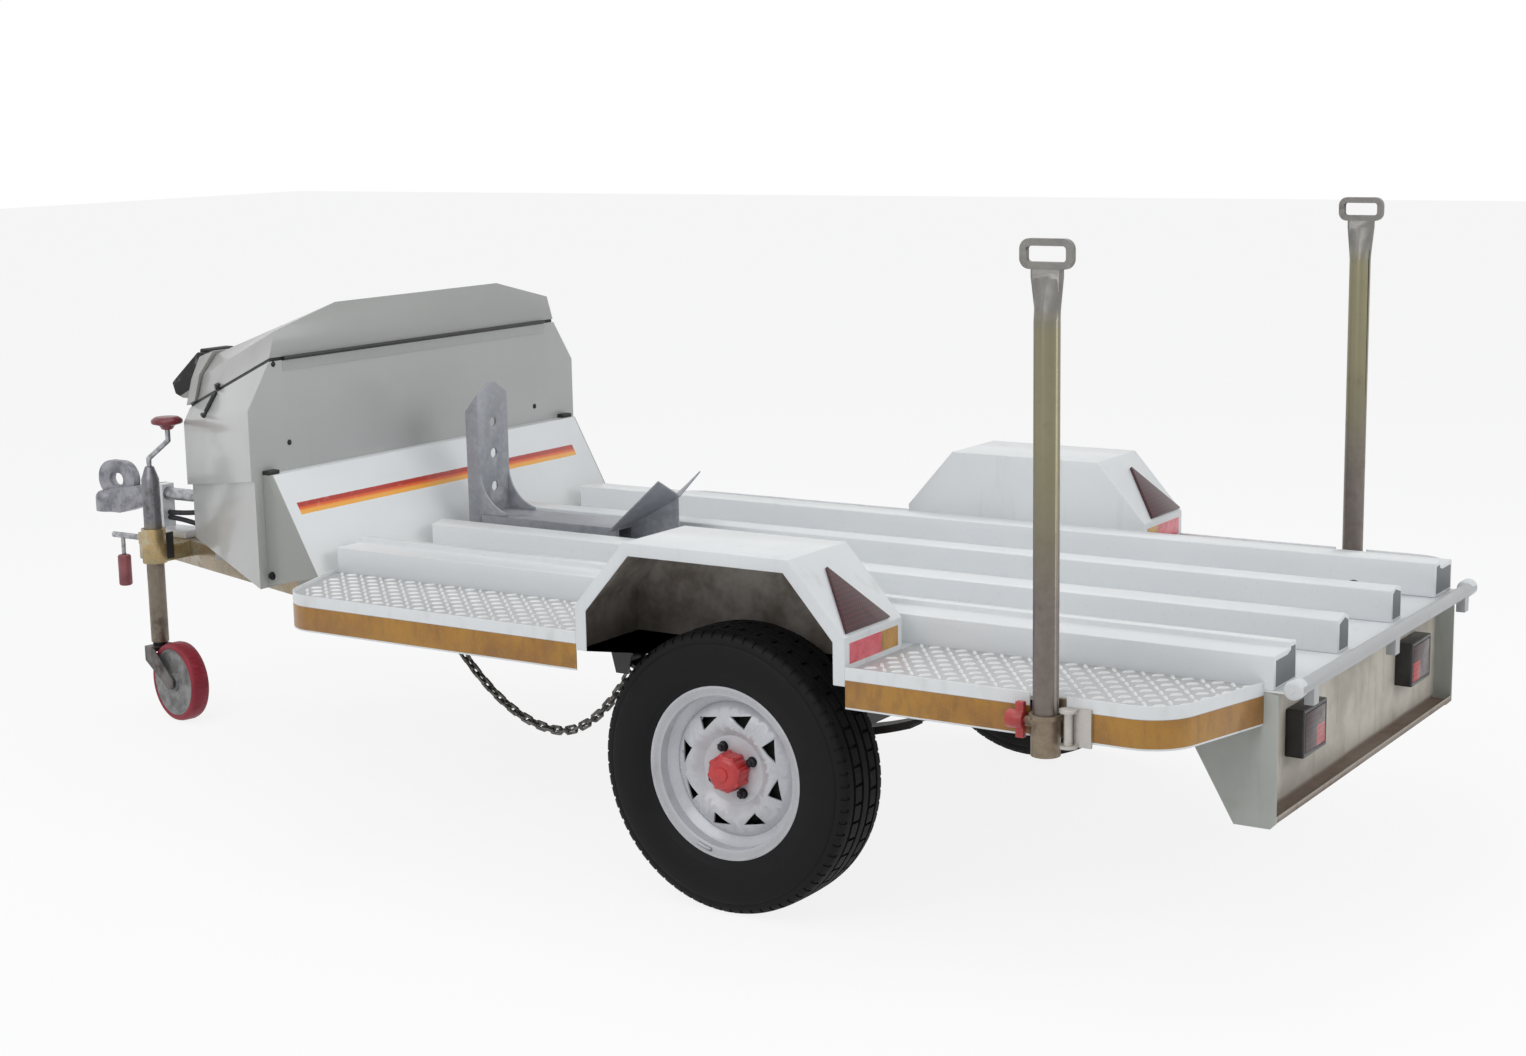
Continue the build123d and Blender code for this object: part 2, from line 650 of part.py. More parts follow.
def spring_clamp():
    half = CLAMP_LENGTH / 2
    reach = SPRING_WIDTH / 2 + 3 * CLAMP_ROD_RADIUS
    top = PACK_TOP + half**2 / (2 * LEAF_RADIUS) + SEAT_GAP
    bottom = AXLE_HEIGHT - AXLE_SQUARE / 2
    low_y = SPRING_Y - reach
    high_y = SPRING_Y + reach
    clamp = block(-half, half, low_y, high_y, top, top + CLAMP_PLATE)
    clamp += block(-half, half, low_y, high_y, bottom - CLAMP_PLATE, bottom)
    for x in (-AXLE_SQUARE / 2 - 2 * CLAMP_ROD_RADIUS, AXLE_SQUARE / 2 + 2 * CLAMP_ROD_RADIUS):
        for y in (low_y + 1.5 * CLAMP_ROD_RADIUS, high_y - 1.5 * CLAMP_ROD_RADIUS):
            clamp += rod((x, y, bottom - CLAMP_PLATE), (x, y, top + CLAMP_PLATE), CLAMP_ROD_RADIUS)
    return clamp


write("axle_beam", axle_beam())
write("leaf_springs", both_sides(leaf_spring()))
hangers = [spring_hanger(x) for x in (-SPRING_HALF_SPANS[0], SPRING_HALF_SPANS[0])]
fittings = hangers + [spring_clamp()]
write("spring_fittings", Compound(children=fittings + [mirrored(fitting) for fitting in fittings]))


# ---- chassis and drawbar ----
def chassis_rail():
    rail = block(PANEL_X, RAIL_FRONT_X, RAIL_INSIDE, RAIL_OUTSIDE, RAIL_BOTTOM, DECK_BOTTOM)
    low_z = RAIL_BOTTOM + TUBE_WALL
    sides = (RAIL_INSIDE + TUBE_WALL, RAIL_OUTSIDE - TUBE_WALL)
    return rail - block(PANEL_X, RAIL_FRONT_X, *sides, low_z, DECK_BOTTOM - TUBE_WALL)


def cross_member(x):
    half = CROSS_MEMBER_WIDTH / 2
    low_z = DECK_BOTTOM - CROSS_MEMBER_HEIGHT
    return block(x - half, x + half, -RAIL_INSIDE, RAIL_INSIDE, low_z, DECK_BOTTOM)


def outrigger(x):
    half = OUTRIGGER_SIZE / 2
    top = TREAD_TOP - SHEET
    outline = [
        (RAIL_OUTSIDE, DECK_BOTTOM - OUTRIGGER_SIZE),
        (RAIL_OUTSIDE, DECK_BOTTOM),
        (OUTER_RAIL_OUTSIDE, DECK_BOTTOM),
        (OUTER_RAIL_OUTSIDE, top),
        (BODY_HALF_WIDTH - SHEET, top),
        (BODY_HALF_WIDTH - SHEET, top - OUTRIGGER_SIZE),
    ]
    return along(outline, x - half, x + half)


def drawbar_centre(x):
    """Distance of a drawbar tube's centre line from the centre line of the trailer."""
    return DRAWBAR_SLOPE * (DRAWBAR_MEET_X - x)


def drawbar_face(x, side):
    """Distance of a drawbar tube's outer (side 1) or inner (side -1) face from the centre line."""
    return drawbar_centre(x) + side * DRAWBAR_WIDTH / 2 * math.hypot(1, DRAWBAR_SLOPE)


def drawbar_tube():
    inner_meet_x = DRAWBAR_MEET_X - DRAWBAR_WIDTH / 2 * math.hypot(1, DRAWBAR_SLOPE) / DRAWBAR_SLOPE
    outline = [
        (DRAWBAR_REAR_X, drawbar_face(DRAWBAR_REAR_X, -1)),
        (inner_meet_x, 0),
        (DRAWBAR_TIP_X, 0),
        (DRAWBAR_TIP_X, drawbar_face(DRAWBAR_TIP_X, 1)),
        (DRAWBAR_REAR_X, drawbar_face(DRAWBAR_REAR_X, 1)),
    ]
    tube = upward(outline, DRAWBAR_BOTTOM, DRAWBAR_TOP)
    wall = TUBE_WALL * math.hypot(1, DRAWBAR_SLOPE)
    hollow_end = inner_meet_x - DRAWBAR_WIDTH
    hollow = [
        (DRAWBAR_REAR_X, drawbar_face(DRAWBAR_REAR_X, -1) + wall),
        (hollow_end, drawbar_face(hollow_end, -1) + wall),
        (hollow_end, drawbar_face(hollow_end, 1) - wall),
        (DRAWBAR_REAR_X, drawbar_face(DRAWBAR_REAR_X, 1) - wall),
    ]
    return tube - upward(hollow, DRAWBAR_BOTTOM + TUBE_WALL, DRAWBAR_TOP - TUBE_WALL)


def nose_bearer(x, half_length):
    half = NOSE_BEARER_WIDTH / 2
    return block(x - half, x + half, -half_length, half_length, DRAWBAR_TOP, NOSE_BOTTOM)


write("chassis_rails", both_sides(chassis_rail()))
bars = [cross_member(x) for x in CROSS_MEMBER_XS]
bars += [nose_bearer(x, half) for x, half in NOSE_BEARERS]
arms = [outrigger(x) for x in OUTRIGGER_XS]
write("cross_members", Compound(children=bars + arms + [mirrored(arm) for arm in arms]))
write("drawbar_left", drawbar_tube())
write("drawbar_right", mirrored(drawbar_tube()))


# ---- deck ----
def deck_floor():
    rear = CROSSBAR_FRONT_X + SEAT_GAP
    return block(rear, DECK_FRONT_X, -OUTER_RAIL_OUTSIDE, OUTER_RAIL_OUTSIDE, DECK_BOTTOM, DECK_TOP)


def outer_rail():
    outline = [
        (OUTER_RAIL_OUTSIDE, DECK_TOP),
        (OUTER_RAIL_OUTSIDE, DECK_TOP + OUTER_RAIL_HEIGHT),
        (OUTER_RAIL_STEP, DECK_TOP + OUTER_RAIL_HEIGHT),
        (OUTER_RAIL_STEP, DECK_TOP + OUTER_RIDGE_HEIGHT),
        (OUTER_RAIL_INSIDE, DECK_TOP + OUTER_RIDGE_HEIGHT - SHEET),
        (OUTER_RAIL_INSIDE, DECK_TOP),
    ]
    return along(outline, SIDE_RAIL_REAR_X, SIDE_RAIL_FRONT_X)


def inner_rail():
    outline = [
        (INNER_RAIL_OUTSIDE, DECK_TOP),
        (INNER_RAIL_OUTSIDE, DECK_TOP + INNER_RAIL_HEIGHT),
        (INNER_RAIL_PEAK, DECK_TOP + INNER_PEAK_HEIGHT),
        (INNER_RAIL_INSIDE, DECK_TOP + INNER_RAIL_HEIGHT),
        (INNER_RAIL_INSIDE, DECK_TOP),
    ]
    return along(outline, SIDE_RAIL_REAR_X, SIDE_RAIL_FRONT_X)


write("deck_floor", deck_floor())
rails = [outer_rail(), inner_rail()]
write("deck_rails", Compound(children=rails + [mirrored(rail) for rail in rails]))


# ---- side platforms ----
def platform_face(start_x, corner_x, edge_x, inset, overrun):
    """Plan of one side platform; inset moves its outer edges in, overrun lengthens its open ends."""
    inner_y = OUTER_RAIL_OUTSIDE
    outward = 1 if corner_x > start_x else -1
    lean = (corner_x - edge_x) / (BODY_HALF_WIDTH - inner_y)
    slide = outward * inset * math.hypot(1, lean)
    side_y = BODY_HALF_WIDTH - inset
    low_y = inner_y - overrun

    def edge(y):
        return edge_x + lean * (y - inner_y) - slide

    start = start_x - outward * overrun
    outline = [(start, low_y), (start, side_y), (edge(side_y), side_y), (edge(low_y), low_y)]
    face = make_face(Polyline(*outline, close=True))
    corner = face.vertices().sort_by_distance((edge(side_y), side_y, 0))[0]
    return fillet(corner, CORNER_RADIUS - inset)


def platform_body(ends, inset, overrun, z_low, z_high):
    face = platform_face(*ends, inset, overrun)
    return Pos(0, 0, z_low) * extrude(face, amount=z_high - z_low, dir=(0, 0, 1))


def pocket_cut(z_low, z_high):
    """Clearance in the skirt and the tread plate for a mast socket."""
    return block(POCKET_REAR_X, POCKET_FRONT_X, POCKET_BACK_Y, BODY_HALF_WIDTH + SHEET, z_low, z_high)


FRONT_ENDS = (ARCH_HALF_LENGTH, FRONT_CORNER_X, FRONT_EDGE_X)
REAR_ENDS = (-ARCH_HALF_LENGTH, REAR_CORNER_X, REAR_EDGE_X)


def tread_plate(ends):
    plate = platform_body(ends, SHEET, 0, TREAD_TOP - SHEET, TREAD_TOP)
    return plate - pocket_cut(SKIRT_BOTTOM, SKIRT_TOP)


def skirt(ends):
    outer = platform_body(ends, 0, 0, SKIRT_BOTTOM, SKIRT_TOP)
    inner = platform_body(ends, SHEET, 2 * SHEET, SKIRT_BOTTOM, SKIRT_TOP)
    return outer - inner


plates = [tread_plate(FRONT_ENDS), tread_plate(REAR_ENDS)]
write("tread_plates", Compound(children=plates + [mirrored(plate) for plate in plates]))
skirts = [skirt(FRONT_ENDS), skirt(REAR_ENDS) - pocket_cut(SKIRT_BOTTOM, SKIRT_TOP)]
write("skirts_left", Compound(children=skirts))
write("skirts_right", Compound(children=[mirrored(band) for band in skirts]))


# ---- wheel arches ----
def arch_outline(inset, bottom):
    """X-Z outline of a wheel arch, moved in by inset on its five closed sides."""
    run = ARCH_HALF_LENGTH - ARCH_TOP_HALF_LENGTH
    rise = ARCH_TOP - ARCH_KNEE
    slope = math.hypot(run, rise)
    knee = (ARCH_HALF_LENGTH - inset, ARCH_KNEE - inset * (slope - rise) / run)
    shoulder = (ARCH_TOP_HALF_LENGTH - inset * (slope - run) / rise, ARCH_TOP - inset)
    points = [(knee[0], bottom), knee, shoulder]
    return points + [(-x, z) for x, z in reversed(points)]


def wheel_arch():
    arch = across(arch_outline(0, ARCH_BOTTOM), ARCH_INSIDE_Y, BODY_HALF_WIDTH)
    arch -= across(arch_outline(SHEET, ARCH_BOTTOM), ARCH_INSIDE_Y + SHEET, BODY_HALF_WIDTH - SHEET)
    arch -= across(arch_outline(ARCH_LIP, ARCH_BOTTOM), BODY_HALF_WIDTH - 2 * SHEET, BODY_HALF_WIDTH)
    sill_sides = (OUTER_RAIL_OUTSIDE, ARCH_INSIDE_Y)
    return arch + block(-ARCH_HALF_LENGTH, ARCH_HALF_LENGTH, *sill_sides, TREAD_TOP - SHEET, TREAD_TOP)


def arch_reflector():
    run = ARCH_HALF_LENGTH - ARCH_TOP_HALF_LENGTH
    rise = ARCH_TOP - ARCH_KNEE
    slope = math.hypot(run, rise)
    start = REFLECTOR_DROP / slope
    apex = (-ARCH_TOP_HALF_LENGTH - run * start, REFLECTOR_Y, ARCH_TOP - rise * start)
    face = Plane(origin=apex, x_dir=(0, 1, 0), z_dir=(-rise, 0, run))
    height = REFLECTOR_SIDE * math.sqrt(3) / 2
    outline = [(0, 0), (REFLECTOR_SIDE / 2, height), (-REFLECTOR_SIDE / 2, height)]
    down = 1 if face.y_dir.Z < 0 else -1
    plate = upward([(y, down * fall) for y, fall in outline], 0, REFLECTOR_THICK)
    return face.location * plate


write("wheel_arch_left", wheel_arch())
write("wheel_arch_right", mirrored(wheel_arch()))
write("arch_reflectors", both_sides(arch_reflector()))


# ---- rear end ----
def rear_crossbar():
    start = (CROSSBAR_X, -CROSSBAR_HALF_LENGTH, CROSSBAR_Z)
    end = (CROSSBAR_X, CROSSBAR_HALF_LENGTH, CROSSBAR_Z)
    bar = rod(start, end, CROSSBAR_RADIUS)
    half = CROSSBAR_LUG_SIZE / 2
    low = CROSSBAR_Z - CROSSBAR_RADIUS - CROSSBAR_LUG_SIZE
    for y in CROSSBAR_LUG_YS:
        bar += block(CROSSBAR_X - half, CROSSBAR_X + half / 2, y - half, y + half, low, CROSSBAR_Z)
    return bar


def rear_panel():
    top = DECK_BOTTOM
    inner = VALANCE_HALF_WIDTH - SHEET
    panel = block(PANEL_X - SHEET, PANEL_X, -inner, inner, PANEL_BOTTOM, top)
    panel += block(VALANCE_REAR_X, PANEL_X, -inner, inner, PANEL_BOTTOM, PANEL_BOTTOM + SHEET)
    lip_top = PANEL_BOTTOM + PANEL_LIP
    return panel + block(VALANCE_REAR_X, VALANCE_REAR_X + SHEET, -inner, inner, PANEL_BOTTOM, lip_top)


def valance_side():
    outline = [
        (VALANCE_TOP_X, DECK_BOTTOM),
        (VALANCE_TOE_X, VALANCE_BOTTOM),
        (VALANCE_REAR_X + PANEL_LIP, VALANCE_BOTTOM),
        (VALANCE_REAR_X, VALANCE_BOTTOM + PANEL_LIP),
        (VALANCE_REAR_X, CROSSBAR_Z - CROSSBAR_RADIUS - SEAT_GAP),
        (REAR_EDGE_X, DECK_BOTTOM),
    ]
    return across(outline, VALANCE_HALF_WIDTH - SHEET, VALANCE_HALF_WIDTH)


def lamp_box(depth_low, depth_high, rim_width):
    half = LAMP_WIDTH / 2 - rim_width
    face = PANEL_X - SHEET
    low = LAMP_BOTTOM + rim_width
    high = LAMP_BOTTOM + LAMP_HEIGHT - rim_width
    return block(face - depth_high, face - depth_low, LAMP_Y - half, LAMP_Y + half, low, high)


lamp_housing = lamp_box(0, LAMP_DEPTH, 0) - lamp_box(LAMP_DEPTH - LENS_DEPTH, LAMP_DEPTH, LAMP_RIM)
lamp_lens = lamp_box(LAMP_DEPTH - LENS_DEPTH, LAMP_DEPTH, LAMP_RIM + SEAT_GAP)
write("rear_crossbar", rear_crossbar())
write("rear_valance", rear_panel() + valance_side() + mirrored(valance_side()))
write("tail_lamp_housings", both_sides(lamp_housing))
write("tail_lamp_lenses", both_sides(lamp_lens))


# ---- masts and sockets ----
def mast():
    base = (MAST_X, MAST_Y, MAST_BOTTOM)
    tube = pipe(base, (MAST_X, MAST_Y, MAST_ROUND_TOP), MAST_RADIUS, TUBE_WALL)
    round_end = Plane(origin=(MAST_X, MAST_Y, MAST_ROUND_TOP)) * Circle(MAST_RADIUS)
    flat_z = MAST_NECK_TOP - MAST_NECK_THICK
    flat = Plane(origin=(MAST_X, MAST_Y, flat_z)) * SlotOverall(MAST_NECK_WIDTH, MAST_NECK_THICK)
    return tube + loft([round_end, flat]) + extrude(flat, amount=MAST_NECK_THICK)


def strap_loop():
    half = LOOP_WIDTH / 2
    low_y = MAST_Y - LOOP_WIRE / 2
    high_y = MAST_Y + LOOP_WIRE / 2
    bottom = MAST_NECK_TOP
    loop = block(MAST_X - half, MAST_X + half, low_y, high_y, bottom, LOOP_TOP)
    inside = half - LOOP_WIRE
    hole_heights = (bottom + LOOP_WIRE, LOOP_TOP - LOOP_WIRE)
    hole = block(MAST_X - inside, MAST_X + inside, low_y, high_y, *hole_heights)
    rounded_hole = fillet(hole.edges().filter_by(Axis.Y), LOOP_WIRE / 2)
    return fillet(loop.edges().filter_by(Axis.Y), LOOP_CORNER_RADIUS) - rounded_hole


def mast_socket():
    inside = MAST_RADIUS + SLIDE_GAP
    outside = inside + SOCKET_WALL
    floor_top = MAST_BOTTOM - SEAT_GAP
    bottom = floor_top - SOCKET_FLOOR
    back_sides = (POCKET_BACK_Y, POCKET_BACK_Y + POCKET_BACK_THICK)
    back = block(POCKET_REAR_X, POCKET_FRONT_X, *back_sides, SKIRT_BOTTOM, TREAD_TOP)
    stem = (MAST_X, MAST_Y, bottom)
    socket = back + rod(stem, (MAST_X, MAST_Y, SOCKET_TOP), outside)
    collar_low = (MAST_X, MAST_Y, SOCKET_TOP - SOCKET_COLLAR_HEIGHT)
    socket += rod(collar_low, (MAST_X, MAST_Y, SOCKET_TOP), SOCKET_COLLAR_RADIUS)
    boss_end = MAST_X + SOCKET_COLLAR_RADIUS
    boss_half = KNOB_STEM_RADIUS + SHEET
    boss_sides = (KNOB_Y - boss_half, KNOB_Y + boss_half)
    socket += block(MAST_X, boss_end, *boss_sides, KNOB_Z - boss_half, KNOB_Z + boss_half)
    return socket - rod((MAST_X, MAST_Y, floor_top), (MAST_X, MAST_Y, TREAD_TOP), inside)


def socket_knob():
    start = MAST_X + SOCKET_COLLAR_RADIUS + SEAT_GAP
    grip = start + KNOB_STEM_LENGTH
    knob = rod((start, KNOB_Y, KNOB_Z), (grip, KNOB_Y, KNOB_Z), KNOB_STEM_RADIUS)
    knob += rod((grip, KNOB_Y, KNOB_Z), (grip + KNOB_LENGTH, KNOB_Y, KNOB_Z), KNOB_RADIUS)
    half = KNOB_STEM_RADIUS
    wing_end = grip + KNOB_LENGTH / 2
    wing_sides = (KNOB_Y - half, KNOB_Y + half)
    return knob + block(grip, wing_end, *wing_sides, KNOB_Z - KNOB_WING, KNOB_Z + KNOB_WING)


def mast_keeper():
    """Small bracket behind each socket, with an upright rod between two discs."""
    rear = KEEPER_FRONT_X - KEEPER_LENGTH
    top = KEEPER_BOTTOM + KEEPER_HEIGHT
    face_y = BODY_HALF_WIDTH + KEEPER_THICK
    keeper = block(rear, KEEPER_FRONT_X, BODY_HALF_WIDTH, face_y, KEEPER_BOTTOM, top)
    rod_x = KEEPER_FRONT_X - KEEPER_ROD_RADIUS
    rod_y = BODY_HALF_WIDTH + KEEPER_DISC_RADIUS + SEAT_GAP
    keeper += rod((rod_x, rod_y, KEEPER_BOTTOM), (rod_x, rod_y, top), KEEPER_ROD_RADIUS)
    for z in (KEEPER_BOTTOM, top - KEEPER_DISC_THICK):
        disc_end = (rod_x, rod_y, z + KEEPER_DISC_THICK)
        keeper += rod((rod_x, rod_y, z), disc_end, KEEPER_DISC_RADIUS)
    return keeper


for side_name, placed in (("left", lambda shape: shape), ("right", mirrored)):
    write(f"mast_{side_name}", placed(mast() + strap_loop()))
holders = [mast_socket(), mast_keeper()]
write("mast_sockets", Compound(children=holders + [mirrored(holder) for holder in holders]))
write("socket_knobs", both_sides(socket_knob()))


# ---- nose box ----
def nose_half(x):
    return NOSE_REAR_HALF - NOSE_TAPER * (x - NOSE_REAR_X)


def seam_z(x):
    return NOSE_SEAM_Z - NOSE_SEAM_FALL * (x - NOSE_REAR_X)


def shoulder_z(x):
    return NOSE_SHOULDER_Z - NOSE_FALL * (x - NOSE_REAR_X)


def leaned_half(x, z):
    """Half width of the nose box at a height above its shoulder."""
    return nose_half(x) - NOSE_LEAN * (z - shoulder_z(x))


def section(x, points):
    """A face across the trailer at x, symmetric about the centre line."""
    right = [(x, -y, z) for y, z in points]
    left = [(x, y, z) for y, z in reversed(points)]
    return make_face(Polyline(*right, *left, close=True))


def step_z(x):
    return NOSE_STEP_Z - NOSE_FALL * (x - NOSE_REAR_X)


def upper_section(x, wall):
    """Section of the nose body above its step, wall inside its faces and above its top edge."""
    side = wall * math.hypot(1, NOSE_TAPER)
    half = nose_half(x) - side
    top = seam_z(x) - SEAL_THICK / 2 + wall
    points = [(half, step_z(x) + wall), (half, shoulder_z(x)), (leaned_half(x, top) - side, top)]
    return section(x, points)


def lower_section(x, wall):
    """Section of the nose body below its step, wall inside its faces and above its top edge."""
    half = nose_half(x) - NOSE_LOWER_INSET - wall * math.hypot(1, NOSE_TAPER)
    return section(x, [(half, NOSE_BOTTOM + wall), (half, step_z(x) + wall)])


def nose_body():
    front = NOSE_FRONT_X
    low_front = NOSE_FRONT_X - NOSE_LOWER_SETBACK
    shell = loft([upper_section(NOSE_REAR_X, 0), upper_section(front, 0)], ruled=True)
    shell += loft([lower_section(NOSE_REAR_X, 0), lower_section(low_front, 0)], ruled=True)
    back = NOSE_REAR_X + SHEET
    shell -= loft([upper_section(back, SHEET), upper_section(front - SHEET, SHEET)], ruled=True)
    lower_ends = [lower_section(back, SHEET), lower_section(low_front - SHEET, SHEET)]
    return shell - loft(lower_ends, ruled=True)


def nose_seal():
    low = -SEAL_THICK / 2
    high = SEAL_THICK / 2 - SEAT_GAP

    def band(x, inset, extra):
        half = leaned_half(x, seam_z(x)) - inset
        return section(x, [(half, seam_z(x) + low - extra), (half, seam_z(x) + high + extra)])

    rear = NOSE_REAR_X + SEAL_INSET
    front = NOSE_FRONT_X - SEAL_INSET
    outer = loft([band(rear, SEAL_INSET, 0), band(front, SEAL_INSET, 0)], ruled=True)
    width = SEAL_INSET + SEAL_WIDTH
    hole_ends = [band(rear + SEAL_WIDTH, width, OVERCUT), band(front - SEAL_WIDTH, width, OVERCUT)]
    return outer - loft(hole_ends, ruled=True)


def lid_section(x, wall, bottom_extra):
    """Section of the lid, wall inside its faces and bottom_extra below its lower edge."""
    share = (x - NOSE_REAR_X) / (NOSE_FRONT_X - NOSE_REAR_X)
    fall = NOSE_SEAM_FALL * (x - NOSE_REAR_X)
    side = wall * math.hypot(1, NOSE_TAPER)
    bottom = seam_z(x) + SEAL_THICK / 2
    shoulder = LID_SIDE_TOP_Z - fall
    base_half = leaned_half(x, seam_z(x)) - side
    shoulder_half = base_half - LID_SIDE_LEAN * (shoulder - bottom)
    top_half = LID_TOP_REAR_HALF + (LID_TOP_FRONT_HALF - LID_TOP_REAR_HALF) * share - side
    points = [
        (base_half + LID_SIDE_LEAN * bottom_extra, bottom - bottom_extra),
        (shoulder_half, shoulder - wall / 2),
        (top_half, LID_TOP_Z - fall - wall),
    ]
    return section(x, points)


def nose_lid():
    shell = loft([lid_section(NOSE_REAR_X, 0, 0), lid_section(NOSE_FRONT_X, 0, 0)], ruled=True)
    back = NOSE_REAR_X + SHEET
    front = NOSE_FRONT_X - SHEET
    hollow = loft([lid_section(back, SHEET, SHEET), lid_section(front, SHEET, SHEET)], ruled=True)
    return shell - hollow


def lid_hinge():
    x = NOSE_REAR_X - LID_HINGE_RADIUS
    half = LID_HINGE_HALF_LENGTH
    pin = rod((x, -half, NOSE_SEAM_Z), (x, half, NOSE_SEAM_Z), LID_HINGE_RADIUS)
    leaf_x = NOSE_REAR_X - LID_HINGE_LEAF_THICK
    return pin + block(leaf_x, NOSE_REAR_X, -half, half, NOSE_SEAM_Z - LID_HINGE_LEAF, NOSE_SEAM_Z)


write("nose_body", nose_body())
write("nose_seal", nose_seal())
write("nose_lid", nose_lid())
write("lid_hinge", lid_hinge())


# ---- splash panel ----
def splash_panel():
    rise = SPLASH_TOP_Z - DECK_TOP
    run = SPLASH_TOP_X - SPLASH_BOTTOM_X
    thick = SHEET * math.hypot(rise, run) / rise
    outline = [
        (SPLASH_BOTTOM_X, DECK_TOP),
        (SPLASH_TOP_X, SPLASH_TOP_Z),
        (NOSE_REAR_X, SPLASH_TOP_Z),
        (NOSE_REAR_X, SPLASH_TOP_Z - SHEET),
        (SPLASH_TOP_X + thick - SHEET * run / rise, SPLASH_TOP_Z - SHEET),
        (SPLASH_BOTTOM_X + thick, DECK_TOP),
    ]
    panel = across(outline, -SPLASH_HALF_WIDTH, SPLASH_HALF_WIDTH)
    gusset = [
        (SPLASH_BOTTOM_X, DECK_TOP),
        (SPLASH_TOP_X, SPLASH_TOP_Z),
        (NOSE_REAR_X, SPLASH_TOP_Z),
        (NOSE_REAR_X, GUSSET_BOTTOM_Z),
    ]
    return panel, across(gusset, SPLASH_HALF_WIDTH, SPLASH_HALF_WIDTH + SHEET)


splash, splash_gusset = splash_panel()
write("splash_panel", splash)
write("splash_gussets", both_sides(splash_gusset))


# ---- nose latch ----
def latch_catch():
    """Hood over the front end of the lid, with a beak that stands out ahead of it."""
    back = NOSE_FRONT_X - CATCH_HOOD_LENGTH
    front = NOSE_FRONT_X + CATCH_HOOD_REACH
    ends = (lid_section(back, -CATCH_HOOD_THICK, 0), lid_section(front, -CATCH_HOOD_THICK, 0))
    lid_end = NOSE_FRONT_X + SEAT_GAP
    lid_ends = (
        lid_section(back - OVERCUT, -SEAT_GAP, OVERCUT),
        lid_section(lid_end, -SEAT_GAP, OVERCUT),
    )
    beak = [
        (lid_end, CATCH_BOTTOM),
        (lid_end, CATCH_TOP),
        (NOSE_FRONT_X + CATCH_BROW_REACH, CATCH_TOP),
        (NOSE_FRONT_X + CATCH_NOSE_REACH - CATCH_HOOD_THICK, CATCH_NOSE_Z + CATCH_HOOD_THICK),
        (NOSE_FRONT_X + CATCH_NOSE_REACH, CATCH_NOSE_Z),
        (NOSE_FRONT_X + CATCH_NOSE_REACH - CATCH_HOOD_THICK, CATCH_BOTTOM + CATCH_HOOD_THICK),
        (NOSE_FRONT_X + CATCH_CHIN_REACH, CATCH_BOTTOM),
    ]
    hood = loft(ends, ruled=True) - loft(lid_ends, ruled=True)
    return hood + across(beak, -CATCH_HALF_WIDTH, CATCH_HALF_WIDTH)


def nose_latch():
    start = NOSE_FRONT_X
    outline = [
        (start, LATCH_BOTTOM),
        (start, LATCH_TOP),
        (start + 3 * LEVER_THICK, LATCH_TOP),
        (start + 5 * LEVER_THICK, LEVER_BOTTOM),
        (start + 4 * LEVER_THICK, LEVER_BOTTOM),
        (start + 2 * LEVER_THICK, LATCH_BOTTOM),
    ]
    return across(outline, -LATCH_HALF_WIDTH / 2, LATCH_HALF_WIDTH / 2)


write("latch_catch", latch_catch())
write("nose_latch", nose_latch())


# ---- wheel chock ----
def chock_upright():
    outline = [
        (-CHOCK_HALF_WIDTH, DECK_TOP),
        (CHOCK_HALF_WIDTH, DECK_TOP),
        (CHOCK_HALF_WIDTH, CHOCK_SHOULDER),
        (CHOCK_PEAK_HALF, CHOCK_TOP),
        (-CHOCK_PEAK_HALF, CHOCK_TOP),
        (-CHOCK_HALF_WIDTH, CHOCK_SHOULDER),
    ]
    upright = along(outline, CHOCK_X, CHOCK_X + CHOCK_SHEET)
    for z in CHOCK_HOLE_ZS:
        hole_end = (CHOCK_X + CHOCK_SHEET + OVERCUT, 0, z)
        upright -= rod((CHOCK_X - OVERCUT, 0, z), hole_end, CHOCK_HOLE_RADIUS)
    flange = [
        (CHOCK_X, DECK_TOP),
        (CHOCK_X + CHOCK_FLANGE, DECK_TOP),
        (CHOCK_X + CHOCK_FLANGE, CHOCK_SHOULDER - CHOCK_FLANGE),
        (CHOCK_X + CHOCK_SHEET, CHOCK_SHOULDER),
        (CHOCK_X, CHOCK_SHOULDER),
    ]
    reach_x = CHOCK_X - CHOCK_GUSSET_REACH
    floor = CHOCK_BASE_TOP
    toe_end = (reach_x, 0, floor + CHOCK_GUSSET_TOE)
    bow = ThreePointArc(
        (CHOCK_X, 0, CHOCK_GUSSET_TOP),
        (CHOCK_X - CHOCK_GUSSET_BOW, 0, (CHOCK_GUSSET_TOP + floor) / 2 - CHOCK_GUSSET_BOW / 2),
        toe_end,
    )
    toe = Polyline(toe_end, (reach_x, 0, floor), (CHOCK_X, 0, floor), (CHOCK_X, 0, CHOCK_GUSSET_TOP))
    inner_y = CHOCK_HALF_WIDTH - CHOCK_SHEET
    gusset_face = Pos(0, inner_y, 0) * make_face([bow, toe])
    cheek = across(flange, inner_y, CHOCK_HALF_WIDTH)
    cheek += extrude(gusset_face, amount=CHOCK_SHEET, dir=(0, 1, 0))
    return upright + cheek + mirrored(cheek)


def cradle_section(x, edge_z, middle_z):
    """Vee-shaped section of the wheel cradle, one sheet thick."""
    half = CRADLE_HALF_WIDTH
    top = [(-half, edge_z), (0, middle_z), (half, edge_z)]
    bottom = [(y, z - CHOCK_SHEET) for y, z in reversed(top)]
    return make_face(Polyline(*[(x, y, z) for y, z in top + bottom], close=True))


